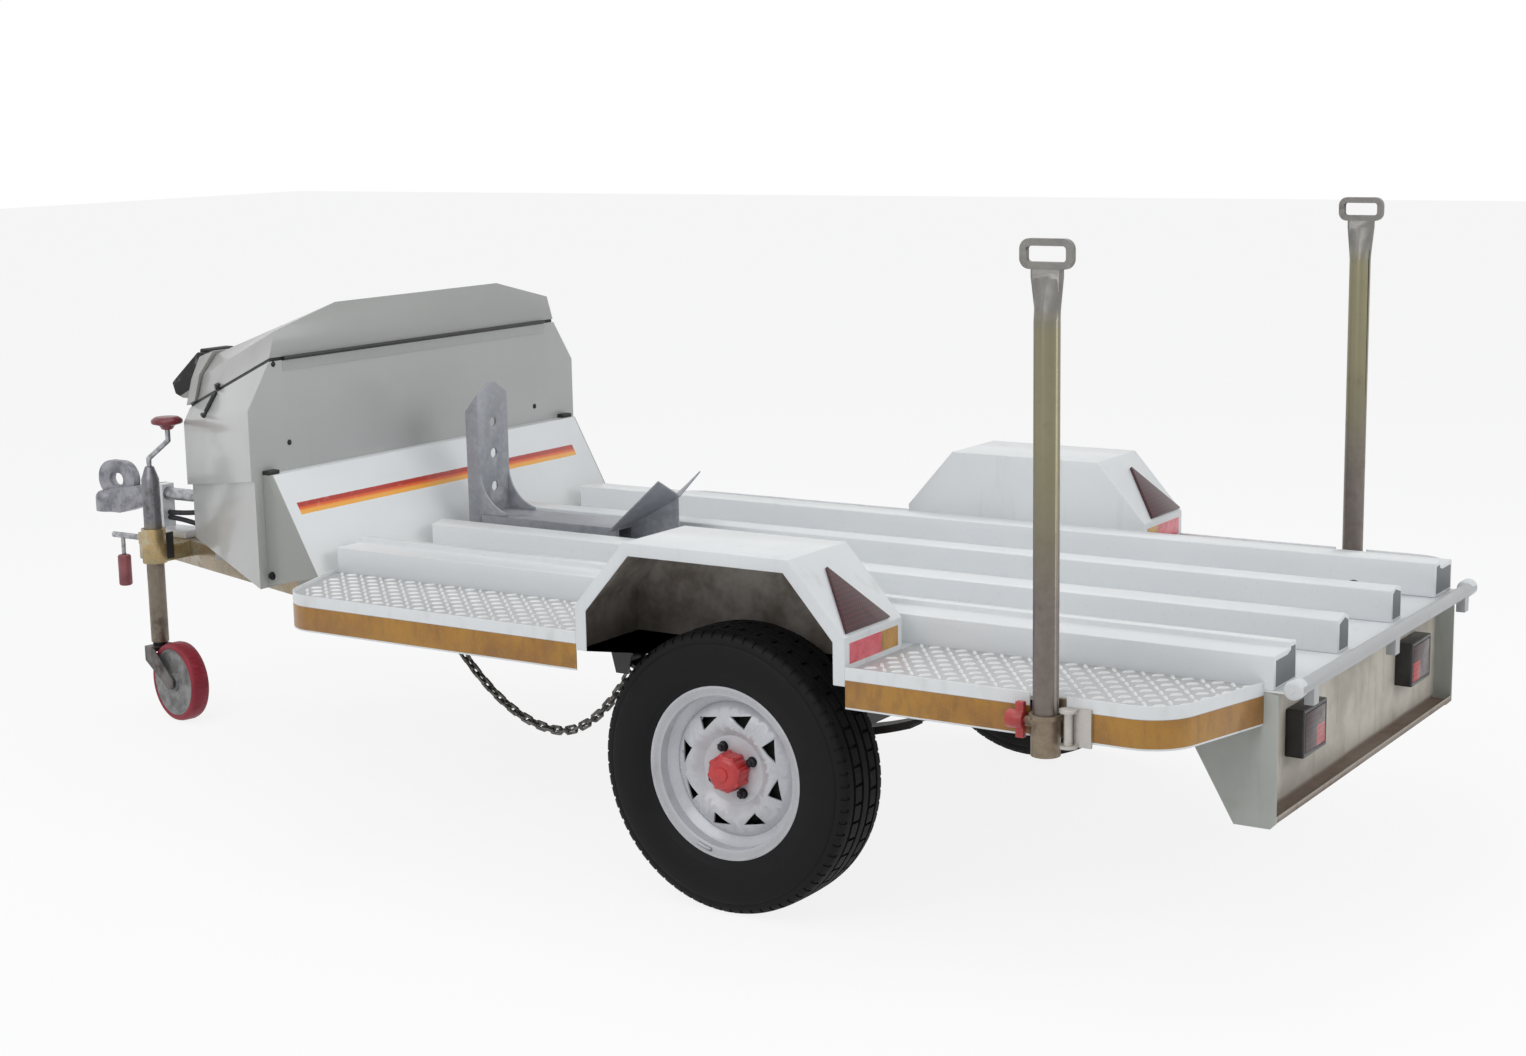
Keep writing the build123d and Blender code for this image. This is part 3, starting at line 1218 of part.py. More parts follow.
def chock_cradle():
    """Raised base with the vee-shaped ramp at its rear end, on a keel down to the deck."""
    floor = CHOCK_BASE_TOP
    half = CHOCK_HALF_WIDTH - SEAT_GAP
    inside = half - CHOCK_SHEET
    base = block(CRADLE_BEND_X, CHOCK_X, -half, half, DECK_TOP, floor)
    base -= block(CRADLE_BEND_X, CHOCK_X, -inside, inside, DECK_TOP, floor - CHOCK_SHEET)
    start_x = CRADLE_BEND_X + CHOCK_SHEET
    start = cradle_section(start_x, floor, floor)
    end = cradle_section(CRADLE_REAR_X, CRADLE_WING_TOP, CRADLE_VEE_TOP)
    ramp = loft([start, end], ruled=True)
    keel_rear = CRADLE_REAR_X + CHOCK_SHEET
    share = (start_x - keel_rear) / (start_x - CRADLE_REAR_X)
    keel = [
        (start_x, DECK_TOP),
        (start_x, floor - CHOCK_SHEET / 2),
        (keel_rear, floor + share * (CRADLE_VEE_TOP - floor) - CHOCK_SHEET / 2),
        (keel_rear, DECK_TOP),
    ]
    return base + ramp + across(keel, -CHOCK_SHEET / 2, CHOCK_SHEET / 2)


write("chock_upright", chock_upright())
write("chock_cradle", chock_cradle())


# ---- coupling ----
def drawbar_plate():
    rear_half = drawbar_face(PLATE_REAR_X, 1)
    outline = [
        (PLATE_REAR_X, -rear_half),
        (PLATE_FRONT_X, -PLATE_HALF_WIDTH / 2),
        (PLATE_FRONT_X, PLATE_HALF_WIDTH / 2),
        (PLATE_REAR_X, rear_half),
    ]
    return upward(outline, DRAWBAR_TOP, DRAWBAR_TOP + PLATE_THICK)


def coupling_bracket():
    half = BRACKET_HALF_WIDTH / 2
    low = DRAWBAR_TOP + PLATE_THICK
    body = block(BRACKET_REAR_X, BRACKET_FRONT_X, -half, half, low, BRACKET_TOP)
    hole = SHAFT_RADIUS + SEAT_GAP
    hole_start = (BRACKET_REAR_X - OVERCUT, 0, SHAFT_Z)
    return body - rod(hole_start, (BRACKET_FRONT_X + OVERCUT, 0, SHAFT_Z), hole)


def coupling_shaft():
    start = NOSE_FRONT_X - NOSE_LOWER_SETBACK
    return rod((start, 0, SHAFT_Z), (HEAD_REAR_X, 0, SHAFT_Z), SHAFT_RADIUS)


def coupling_head():
    dome = rod((BALL_X, 0, HEAD_BOTTOM), (BALL_X, 0, HEAD_DOME_TOP), HEAD_DOME_RADIUS)
    dome = fillet(dome.edges().sort_by(Axis.Z)[-1], HEAD_DOME_RADIUS / 2)
    neck = [
        (HEAD_REAR_X, SHAFT_Z - HEAD_SLEEVE_RADIUS),
        (HEAD_REAR_X, SHAFT_Z + HEAD_SLEEVE_RADIUS),
        (HANDLE_X, HEAD_TOP),
        (BALL_X, HEAD_DOME_TOP),
        (BALL_X, HEAD_BOTTOM),
        (HANDLE_X - HEAD_SLEEVE_RADIUS, HEAD_BOTTOM),
    ]
    head = dome + across(neck, -HEAD_HALF_WIDTH, HEAD_HALF_WIDTH)
    throat = rod((BALL_X, 0, HEAD_BOTTOM), (BALL_X, 0, HEAD_BOTTOM + BALL_THROAT), BALL_SOCKET_RADIUS)
    ball = Pos(BALL_X, 0, HEAD_BOTTOM + BALL_THROAT) * Sphere(BALL_SOCKET_RADIUS)
    slot_half = HANDLE_HALF_WIDTH + SEAT_GAP
    slot_reach = HANDLE_LENGTH / 2 + SEAT_GAP
    slot_ends = (HANDLE_X - slot_reach, HANDLE_X + slot_reach)
    slot = block(*slot_ends, -slot_half, slot_half, HANDLE_FLOOR, HEAD_TOP + HEAD_DOME_RADIUS)
    return head - throat - ball - slot


def coupling_handle():
    """Long ring that stands in the slot along the top of the head."""
    middle = Plane(origin=(HANDLE_X, 0, HANDLE_Z), x_dir=(1, 0, 0), z_dir=(0, 1, 0))
    outline = SlotOverall(HANDLE_LENGTH, HANDLE_HEIGHT)
    outline -= SlotOverall(HANDLE_HOLE_LENGTH, HANDLE_HOLE_HEIGHT)
    ring = extrude(middle * outline, amount=HANDLE_HALF_WIDTH, both=True)
    reach = HANDLE_LENGTH / 2 + OVERCUT
    low = HANDLE_Z - HANDLE_HEIGHT / 2 - OVERCUT
    side = HANDLE_HALF_WIDTH + OVERCUT
    return ring - block(HANDLE_X - reach, HANDLE_X + reach, -side, side, low, HANDLE_FLOOR + SEAT_GAP)


def coupling_cables():
    """Two cables that leave the nose one above the other and meet at the bracket."""
    start_x = NOSE_FRONT_X - NOSE_LOWER_SETBACK
    end_x = BRACKET_REAR_X - SEAT_GAP
    bend_x = (start_x + end_x) / 2
    strands = []
    spread = CABLE_RADIUS + SEAT_GAP
    for z, end_z in ((CABLE_LOW_Z, CABLE_MEET_Z - spread), (CABLE_HIGH_Z, CABLE_MEET_Z + spread)):
        route = [(start_x, 0, z), (bend_x, 0, z), (end_x - CABLE_END, 0, end_z), (end_x, 0, end_z)]
        path = FilletPolyline(*route, radius=CABLE_BEND)
        profile = Plane(origin=path @ 0, z_dir=path % 0) * Circle(CABLE_RADIUS)
        strands.append(sweep(profile, path=path))
    return Compound(children=strands)


write("coupling_mount", drawbar_plate() + coupling_bracket())
write("coupling_shaft", coupling_shaft())
write("coupling_head", coupling_head())
write("coupling_handle", coupling_handle())
write("coupling_cables", coupling_cables())


# ---- jockey stand ----
JOCKEY_WHEEL_X = JOCKEY_X - JOCKEY_TRAIL
FORK_INSIDE = JOCKEY_WHEEL_WIDTH / 2 + WHEEL_SIDE_GAP


def jockey_point(z):
    return (JOCKEY_X, JOCKEY_Y, z)


def jockey_outer_tube():
    ends = (jockey_point(JOCKEY_TUBE_BOTTOM), jockey_point(JOCKEY_TUBE_TOP))
    tube = pipe(*ends, JOCKEY_TUBE_RADIUS, TUBE_WALL)
    cone = turned(
        [
            (0, JOCKEY_TUBE_TOP),
            (JOCKEY_TUBE_RADIUS, JOCKEY_TUBE_TOP),
            (JOCKEY_CONE_RADIUS, JOCKEY_CONE_TOP),
            (0, JOCKEY_CONE_TOP),
        ]
    )
    return tube + Pos(JOCKEY_X, JOCKEY_Y, 0) * cone


def jockey_inner_tube():
    top = FORK_TOP + FORK_PLATE + SEAT_GAP
    end = jockey_point(top + JOCKEY_INNER_LENGTH)
    return pipe(jockey_point(top), end, JOCKEY_INNER_RADIUS, TUBE_WALL)


def jockey_fork():
    front = JOCKEY_WHEEL_X + JOCKEY_WHEEL_RADIUS + WHEEL_FRONT_GAP
    rear = JOCKEY_X - JOCKEY_INNER_RADIUS + SHEET
    lug = 3 * JOCKEY_AXLE_RADIUS
    low = JOCKEY_WHEEL_RADIUS - lug
    cheek = [
        (JOCKEY_WHEEL_X - lug, low + lug / 2),
        (JOCKEY_WHEEL_X - lug, low + 1.5 * lug),
        (rear, FORK_TOP + FORK_PLATE),
        (front + FORK_PLATE, FORK_TOP + FORK_PLATE),
        (front + FORK_PLATE, FORK_TOP - 2 * lug),
        (JOCKEY_WHEEL_X + lug / 2, low),
        (JOCKEY_WHEEL_X - lug / 2, low),
    ]
    fork = across(cheek, JOCKEY_Y + FORK_INSIDE, JOCKEY_Y + FORK_INSIDE + FORK_PLATE)
    fork += across(cheek, JOCKEY_Y - FORK_INSIDE - FORK_PLATE, JOCKEY_Y - FORK_INSIDE)
    half = FORK_INSIDE + FORK_PLATE
    sides = (JOCKEY_Y - half, JOCKEY_Y + half)
    fork += block(rear, front + FORK_PLATE, *sides, FORK_TOP, FORK_TOP + FORK_PLATE)
    fork += block(front, front + FORK_PLATE, *sides, FORK_TOP - lug, FORK_TOP)
    start = (JOCKEY_WHEEL_X, JOCKEY_Y - half, JOCKEY_WHEEL_RADIUS)
    return fork + rod(start, (JOCKEY_WHEEL_X, JOCKEY_Y + half, JOCKEY_WHEEL_RADIUS), JOCKEY_AXLE_RADIUS)


def on_jockey_axle(shape):
    origin = (JOCKEY_WHEEL_X, JOCKEY_Y, JOCKEY_WHEEL_RADIUS)
    return Plane(origin=origin, x_dir=(1, 0, 0), z_dir=(0, 1, 0)).location * shape


def steered(shape):
    """Turns a piece of the caster about the stand's axis."""
    return shape.rotate(Axis(jockey_point(0), (0, 0, 1)), JOCKEY_STEER)


def jockey_disc():
    half = JOCKEY_WHEEL_WIDTH / 2
    bore = JOCKEY_AXLE_RADIUS + BEARING_GAP
    dish = half - JOCKEY_DISH
    return turned(
        [
            (bore, -half),
            (JOCKEY_HUB_RADIUS, -half),
            (JOCKEY_HUB_RADIUS + JOCKEY_HUB_FLARE, -dish),
            (JOCKEY_DISC_RADIUS - JOCKEY_DISH, -dish),
            (JOCKEY_DISC_RADIUS, JOCKEY_EDGE - half),
            (JOCKEY_DISC_RADIUS, half - JOCKEY_EDGE),
            (JOCKEY_DISC_RADIUS - JOCKEY_DISH, dish),
            (JOCKEY_HUB_RADIUS + JOCKEY_HUB_FLARE, dish),
            (JOCKEY_HUB_RADIUS, half),
            (bore, half),
        ]
    )


def jockey_tyre():
    half = JOCKEY_WHEEL_WIDTH / 2
    inner = JOCKEY_DISC_RADIUS + SEAT_GAP
    edge = JOCKEY_WHEEL_RADIUS - JOCKEY_SHOULDER_DROP
    bead = JOCKEY_EDGE / 2
    return turned(
        [
            (inner, JOCKEY_EDGE - half),
            (inner + JOCKEY_BEAD_RISE, bead - half),
            (edge, JOCKEY_SHOULDER_SETBACK - half),
            (JOCKEY_WHEEL_RADIUS, JOCKEY_TREAD_SETBACK - half),
            (JOCKEY_WHEEL_RADIUS, half - JOCKEY_TREAD_SETBACK),
            (edge, half - JOCKEY_SHOULDER_SETBACK),
            (inner + JOCKEY_BEAD_RISE, half - bead),
            (inner, half - JOCKEY_EDGE),
        ]
    )


def jockey_crank():
    top = (CRANK_TOP_X, JOCKEY_Y, CRANK_TOP_Z)
    crank = rod(jockey_point(JOCKEY_CONE_TOP), jockey_point(CRANK_KNEE_Z), CRANK_RADIUS)
    crank += Pos(*jockey_point(CRANK_KNEE_Z)) * Sphere(CRANK_RADIUS)
    crank += rod(jockey_point(CRANK_KNEE_Z), top, CRANK_RADIUS)
    crank += Pos(*top) * Sphere(CRANK_RADIUS)
    return crank + rod(top, (CRANK_TOP_X, JOCKEY_Y, GRIP_BOTTOM), CRANK_RADIUS)


def jockey_grip():
    grip = turned(
        [
            (0, 0),
            (GRIP_RADIUS / 3, 0),
            (GRIP_RADIUS / 2, GRIP_HEIGHT / 3),
            (GRIP_RADIUS, GRIP_HEIGHT / 2),
            (GRIP_RADIUS, GRIP_HEIGHT * 0.8),
            (GRIP_RADIUS * 0.75, GRIP_HEIGHT),
            (0, GRIP_HEIGHT),
        ]
    )
    return Pos(CRANK_TOP_X, JOCKEY_Y, GRIP_BOTTOM) * grip


def jockey_clamp():
    top = CLAMP_RING_BOTTOM + CLAMP_RING_HEIGHT
    ring = rod(jockey_point(CLAMP_RING_BOTTOM), jockey_point(top), CLAMP_RING_RADIUS)
    arm = [
        (CLAMP_ARM_REAR_X, drawbar_face(CLAMP_ARM_REAR_X, 1)),
        (CLAMP_ARM_FRONT_X, drawbar_face(CLAMP_ARM_FRONT_X, 1)),
        (CLAMP_ARM_FRONT_X, JOCKEY_Y - JOCKEY_TUBE_RADIUS),
        (JOCKEY_X + CLAMP_RING_RADIUS, JOCKEY_Y),
        (JOCKEY_X, JOCKEY_Y),
        (CLAMP_ARM_REAR_X, JOCKEY_Y - CLAMP_RING_RADIUS / 2),
    ]
    ring += upward(arm, CLAMP_RING_BOTTOM, DRAWBAR_TOP)
    ear_half = CLAMP_SCREW_RADIUS + SHEET
    ear_end = JOCKEY_X + CLAMP_RING_RADIUS + CLAMP_RING_RADIUS / 2
    low = CLAMP_SCREW_Z - 2 * CLAMP_SCREW_RADIUS
    high = CLAMP_SCREW_Z + 2 * CLAMP_SCREW_RADIUS
    ring += block(JOCKEY_X, ear_end, JOCKEY_Y - ear_half, JOCKEY_Y + ear_half, low, high)
    bore = JOCKEY_TUBE_RADIUS + SLIDE_GAP
    return ring - rod(jockey_point(CLAMP_RING_BOTTOM - OVERCUT), jockey_point(top + OVERCUT), bore)


def clamp_screw():
    start = JOCKEY_X + CLAMP_RING_RADIUS * 1.5 + SEAT_GAP
    end = (CLAMP_SCREW_END_X, JOCKEY_Y, CLAMP_SCREW_Z)
    screw = rod((start, JOCKEY_Y, CLAMP_SCREW_Z), end, CLAMP_SCREW_RADIUS)
    lever_ends = ((CLAMP_LEVER_X, JOCKEY_Y, CLAMP_GRIP_TOP), (CLAMP_LEVER_X, JOCKEY_Y, CLAMP_SCREW_Z))
    return screw + rod(*lever_ends, CLAMP_SCREW_RADIUS - 2)


def clamp_grip():
    bottom = (CLAMP_LEVER_X, JOCKEY_Y, CLAMP_GRIP_TOP - CLAMP_GRIP_LENGTH)
    grip = rod(bottom, (CLAMP_LEVER_X, JOCKEY_Y, CLAMP_GRIP_TOP), CLAMP_GRIP_RADIUS)
    return fillet(grip.edges(), CLAMP_GRIP_RADIUS / 3)


write("jockey_outer_tube", jockey_outer_tube())
write("jockey_inner_tube", jockey_inner_tube())
write("jockey_fork", steered(jockey_fork()))
write("jockey_disc", steered(on_jockey_axle(jockey_disc())))
write("jockey_tyre", steered(on_jockey_axle(jockey_tyre())))
write("jockey_crank", jockey_crank())
write("jockey_grip", jockey_grip())
write("jockey_clamp", jockey_clamp())
write("clamp_screw", clamp_screw())
write("clamp_grip", clamp_grip())


# ---- safety chain ----
def chain_point(x):
    """Point of the chain's middle line between the drawbar and the front spring hanger."""
    end_x, end_z = (CHAIN_FRONT_X, CHAIN_FRONT_Z) if x > CHAIN_LOW_X else (CHAIN_REAR_X, CHAIN_REAR_Z)
    height = CHAIN_LOW_Z + (end_z - CHAIN_LOW_Z) * ((x - CHAIN_LOW_X) / (end_x - CHAIN_LOW_X)) ** 2
    hanger_y = SPRING_Y - SPRING_WIDTH / 2 - HANGER_PLATE / 2
    share = (CHAIN_FRONT_X - x) / (CHAIN_FRONT_X - CHAIN_REAR_X)
    start_y = drawbar_centre(CHAIN_FRONT_X)
    return Vector(x, start_y + share * (hanger_y - start_y), height)


def chain_link():
    """One link, its length along X, lying in the X-Y plane."""
    half = CHAIN_INNER_LENGTH / 2
    width = CHAIN_INNER_WIDTH / 2

    def ring(length, breadth, corner):
        return [
            (length, breadth - corner),
            (length - corner, breadth),
            (corner - length, breadth),
            (-length, breadth - corner),
            (-length, corner - breadth),
            (corner - length, -breadth),
            (length - corner, -breadth),
            (length, corner - breadth),
        ]

    outer = ring(half + CHAIN_WIRE, width + CHAIN_WIRE, CHAIN_CORNER)
    inner = ring(half, width, CHAIN_CORNER / 4)
    thick = CHAIN_WIRE / 2
    return upward(outer, -thick, thick) - upward(inner, -thick, thick)


def safety_chain():
    pitch = CHAIN_INNER_LENGTH - CHAIN_SLACK
    link = chain_link()
    links = []
    x = CHAIN_FRONT_X
    while x > CHAIN_REAR_X + pitch / 2:
        step = pitch
        for _ in range(8):
            step *= pitch / (chain_point(x - step) - chain_point(x)).length
        ahead = chain_point(x - step) - chain_point(x)
        turn = Vector(0, 1, 0) if len(links) % 2 else Vector(0, 1, 0).cross(ahead)
        upright = turn - ahead * (turn.dot(ahead) / ahead.dot(ahead))
        middle = (chain_point(x - step) + chain_point(x)) * 0.5
        links.append(Plane(origin=middle, x_dir=ahead, z_dir=upright).location * link)
        x -= step
    return Compound(children=links)


write("safety_chain", safety_chain())
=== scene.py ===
import json
import math

import bpy
from mathutils import Matrix, Vector


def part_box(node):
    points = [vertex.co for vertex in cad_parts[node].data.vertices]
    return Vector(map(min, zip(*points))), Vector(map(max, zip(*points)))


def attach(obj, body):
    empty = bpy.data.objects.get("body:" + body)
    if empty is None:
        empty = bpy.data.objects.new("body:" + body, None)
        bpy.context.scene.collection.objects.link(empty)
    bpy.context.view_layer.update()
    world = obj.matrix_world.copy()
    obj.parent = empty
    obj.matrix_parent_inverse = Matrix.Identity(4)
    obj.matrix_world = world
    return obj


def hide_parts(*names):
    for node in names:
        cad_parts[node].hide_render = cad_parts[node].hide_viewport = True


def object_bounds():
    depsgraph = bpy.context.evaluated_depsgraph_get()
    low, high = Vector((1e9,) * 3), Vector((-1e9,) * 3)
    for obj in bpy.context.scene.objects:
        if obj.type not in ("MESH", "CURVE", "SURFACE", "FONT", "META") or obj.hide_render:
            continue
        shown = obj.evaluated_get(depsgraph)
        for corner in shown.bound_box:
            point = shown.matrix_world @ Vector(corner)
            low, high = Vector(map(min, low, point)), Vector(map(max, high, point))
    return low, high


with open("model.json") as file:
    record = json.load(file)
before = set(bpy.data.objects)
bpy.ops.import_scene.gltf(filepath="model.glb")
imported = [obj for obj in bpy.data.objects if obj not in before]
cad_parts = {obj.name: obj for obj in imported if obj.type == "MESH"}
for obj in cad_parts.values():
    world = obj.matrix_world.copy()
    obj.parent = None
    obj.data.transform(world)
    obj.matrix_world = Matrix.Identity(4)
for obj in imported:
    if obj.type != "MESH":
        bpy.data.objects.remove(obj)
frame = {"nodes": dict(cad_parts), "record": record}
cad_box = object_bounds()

# Finishes and fittings of a motorcycle trailer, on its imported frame.
# Metres, +X forward, +Y left, +Z up.


# ---- shader maths ----
class Value:
    """A socket of one finish, so that shader maths reads as ordinary arithmetic."""

    def __init__(self, finish, socket):
        self.finish = finish
        self.socket = socket

    def __add__(self, other):
        return self.finish.maths("ADD", self, other)

    def __sub__(self, other):
        return self.finish.maths("SUBTRACT", self, other)

    def __rsub__(self, other):
        return self.finish.maths("SUBTRACT", other, self)

    def __mul__(self, other):
        return self.finish.maths("MULTIPLY", self, other)

    def __gt__(self, other):
        return self.finish.maths("GREATER_THAN", self, other)

    def __lt__(self, other):
        return self.finish.maths("LESS_THAN", self, other)

    def __abs__(self):
        return self.finish.maths("ABSOLUTE", self)

    __radd__ = __add__
    __rmul__ = __mul__

    def spread(self, low, high, to_low=0.0, to_high=1.0):
        """The value between low and high, stretched to another range and held inside it."""
        sockets = {0: self, 1: low, 2: high, 3: to_low, 4: to_high}
        settings = {"clamp": True, "interpolation_type": "SMOOTHSTEP"}
        return self.finish.add("ShaderNodeMapRange", settings, sockets)


class Finish:
    """One surface finish, built from nodes; a world can own such nodes as well."""

    def __init__(self, name, owner=None):
        self.material = owner or bpy.data.materials.new(name)
        self.material.use_nodes = True
        self.tree = self.material.node_tree
        self.tree.nodes.clear()
        self.place = self.add("ShaderNodeTexCoord", {}, {}, "Object")

    def add(self, kind, settings, sockets, output=0):
        """One node with its settings and its sockets' values or links; gives one of its outputs."""
        node = self.tree.nodes.new(kind)
        for name, setting in settings.items():
            setattr(node, name, setting)
        for key, given in sockets.items():
            if isinstance(given, Value):
                self.tree.links.new(given.socket, node.inputs[key])
            else:
                node.inputs[key].default_value = given
        return Value(self, node.outputs[output]) if len(node.outputs) else node

    def maths(self, operation, *terms):
        return self.add("ShaderNodeMath", {"operation": operation}, dict(enumerate(terms)))

    def axes(self, place=None):
        parts = self.add("ShaderNodeSeparateXYZ", {}, {0: place or self.place}).socket.node
        return [Value(self, parts.outputs[index]) for index in range(3)]

    def reach(self, axle):
        """How far a point lies from an axle that runs across the trailer."""
        along, height = self.axes()[::2]
        along, height = along - axle.x, height - axle.z
        return self.maths("SQRT", along * along + height * height)

    def noise(self, scale, detail=3.0, roughness=0.55, stretch=None, distortion=0.0):
        place = self.place
        if stretch:
            place = self.add("ShaderNodeMapping", {}, {"Vector": place, "Scale": stretch})
        sockets = {"Vector": place, "Scale": scale, "Detail": detail, "Roughness": roughness}
        sockets["Distortion"] = distortion
        return self.add("ShaderNodeTexNoise", {}, sockets)

    def cells(self, scale, feature="F1", output="Distance"):
        sockets = {"Vector": self.place, "Scale": scale}
        return self.add("ShaderNodeTexVoronoi", {"feature": feature}, sockets, output)

    def waves(self, value):
        """Rises to 1 and falls back to 0 over and over as the value grows."""
        return self.maths("PINGPONG", value, 1.0)

    def tape_web(self):
        """The lines between the small six-sided cells of reflective tape."""
        return self.cells(190, "DISTANCE_TO_EDGE").spread(0.10, 0.02)

    def patches(self, low, high, *scale_and_detail, **settings):
        """Noise that is cut off below one level and full above the other."""
        return self.noise(*scale_and_detail, **settings).spread(low, high)

    def mix(self, share, first, second):
        """One colour over another by a share from 0 to 1; three numbers are a screen colour."""
        sockets = {0: share}
        for key, colour in ((6, first), (7, second)):
            on_screen = isinstance(colour, tuple) and len(colour) == 3
            sockets[key] = shade(*colour) if on_screen else colour
        return self.add("ShaderNodeMix", {"data_type": "RGBA"}, sockets, 2)

    def layers(self, base, *coats):
        """Colours laid over the base one after another, each with its share."""
        for share, colour in coats:
            base = self.mix(share, base, colour)
        return base

    def bump(self, height, depth, strength, under=None):
        sockets = {"Height": height, "Distance": depth, "Strength": strength}
        if under:
            sockets["Normal"] = under
        return self.add("ShaderNodeBump", {}, sockets)

    def grain(self, scale, detail, *bump):
        """Fine, even noise in the skin."""
        return self.bump(self.noise(scale, detail), *bump)

    def orange_peel(self, depth):
        return self.grain(420, 2, depth, 0.5)

    def drawn_lines(self, depth):
        """Fine lines along an upright tube."""
        return self.bump(self.noise(300, 2, stretch=(1, 1, 0.03)), depth, 0.5)

    def close(self, base, roughness, skin, metal=0.0, coat=0.0, coat_roughness=0.12, shine=0.5):
        """Ends the finish in one surface, with a clear coat over it where there is one."""
        sockets = {
            "Base Color": base, "Roughness": roughness, "Normal": skin, "Metallic": metal,
            "Coat Weight": coat, "Coat Roughness": coat_roughness, "Specular IOR Level": shine,
        }
        surface = self.add("ShaderNodeBsdfPrincipled", {}, sockets)
        self.add("ShaderNodeOutputMaterial", {}, {"Surface": surface})
        return self.material


def shade(red, green, blue):
    """A colour written as it shows on a screen, 0 to 255, turned to the shader's own scale."""
    parts = []
    for part in (red, green, blue):
        part /= 255
        parts.append(part / 12.92 if part <= 0.04045 else ((part + 0.055) / 1.055) ** 2.4)
    return (*parts, 1.0)


def faded(colour, share):
    """A screen colour with only a share of its light."""
    return (*(share * part for part in shade(*colour)[:3]), 1.0)


WHITE = (226, 229, 231)
DUST = (168, 164, 154)
ROAD_DIRT = (96, 84, 70)


# ---- finishes ----
def painted(name, colour, dirt, coat, peel=0.00006, rough=0.34):
    """Paint over steel sheet: faint orange peel, cloudy gloss, dust low down and in patches."""
    finish = Finish(name)
    height = finish.axes()[2]
    clouds = finish.patches(0.35, 0.7, 3.1, 4)
    specks = finish.patches(0.66, 0.74, 160, 2)
    streaks = finish.patches(0.56, 0.8, 26, 5, stretch=(1, 1, 0.12))
    low = height.spread(0.62, 0.32)
    dust = (streaks * 0.35 + clouds * 0.25 + low * 0.55).spread(0.25, 1.1, 0, 0.75)
    base = finish.layers(
        colour, (clouds * 0.5, faded(colour, 0.94)), (dust * 0.55, dirt), (specks * 0.18, dirt)
    )
    skin = finish.orange_peel(peel)
    skin = finish.grain(7, 2, 0.0006, 0.08, skin)
    roughness = (clouds * 0.5 + dust * 0.6).spread(0, 1, rough, rough + 0.24)
    return finish.close(base, roughness, skin, coat=coat)


def wheel_well_paint():
    """White outside; the hollow side of the arches is dark with road dirt and painted shade."""
    finish = Finish("wheel_arch_paint")
    low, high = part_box("wheel_arch_left")
    middle = (low.x + high.x) / 2
    half_length = 0.324
    inner_wall = 0.584
    slope_foot = 0.625
    slope_out, slope_up = 0.747, 0.665
    sheet = 0.0016
    across, side, height = finish.axes()
    along = abs(across - middle)
    out = abs(side)
    slope = (along - half_length) * slope_out + (height - slope_foot) * slope_up
    walls = finish.maths("MAXIMUM", along - half_length, height - high.z)
    reach = finish.maths("MAXIMUM", walls, slope)
    hollow = (reach < -sheet) * (out > inner_wall + sheet) * (out < high.y - sheet)
    clouds = finish.patches(0.35, 0.7, 3.1, 4)
    streaks = finish.patches(0.56, 0.8, 26, 5, stretch=(1, 1, 0.12))
    # Painted shade and road dirt on the arches' hollow side, darker towards the bottom.
    grime_and_shade = finish.layers(
        (176, 170, 163), (finish.patches(0.36, 0.68, 9, 5, 0.65), (122, 113, 104)),
        (height.spread(0.66, 0.54) * 0.6, (88, 80, 73)),
    )
    base = finish.layers(
        WHITE, (clouds * 0.5, (212, 215, 217)), (streaks * 0.3, DUST), (hollow, grime_and_shade)
    )
    skin = finish.orange_peel(0.00006)
    skin = finish.bump(finish.noise(60, 4) * hollow, 0.0012, 0.6, skin)
    roughness = (clouds * 0.3 + hollow).spread(0, 1, 0.36, 0.85)
    return finish.close(base, roughness, skin, coat=(1 - hollow) * 0.3)


def rear_panel_paint():
    """Grey-brown, road-worn panel between two greyer side plates, with a rusty bottom flange; its
    grey-brown is partly painted shade.
    """
    finish = Finish("rear_panel_paint")
    low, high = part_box("rear_valance")
    side, height = finish.axes()[1:]
    plates = abs(side).spread(high.y - 0.0042, high.y - 0.0034)
    drift = finish.noise(5, 4, 0.6)
    film = drift.spread(0.35, 0.68)
    streaks = finish.patches(0.5, 0.8, 30, 5, stretch=(1, 1, 0.1))
    foot = (height + drift * 0.012).spread(low.z + 0.034, low.z + 0.022)
    grey = finish.layers((176, 179, 174), (film, (160, 163, 157)), (streaks * 0.3, (128, 120, 108)))
    # The panel's grey-brown base is partly painted shade and partly road dirt.
    base = finish.layers(
        (196, 190, 178), (film, (166, 161, 151)), (streaks * 0.4, (132, 120, 104)),
        (foot * 0.85, (92, 70, 56)), (plates, grey),
    )
    skin = finish.grain(300, 3, 0.0001, 0.6)
    return finish.close(base, (film + streaks * 0.5).spread(0, 1.5, 0.42, 0.72), skin)


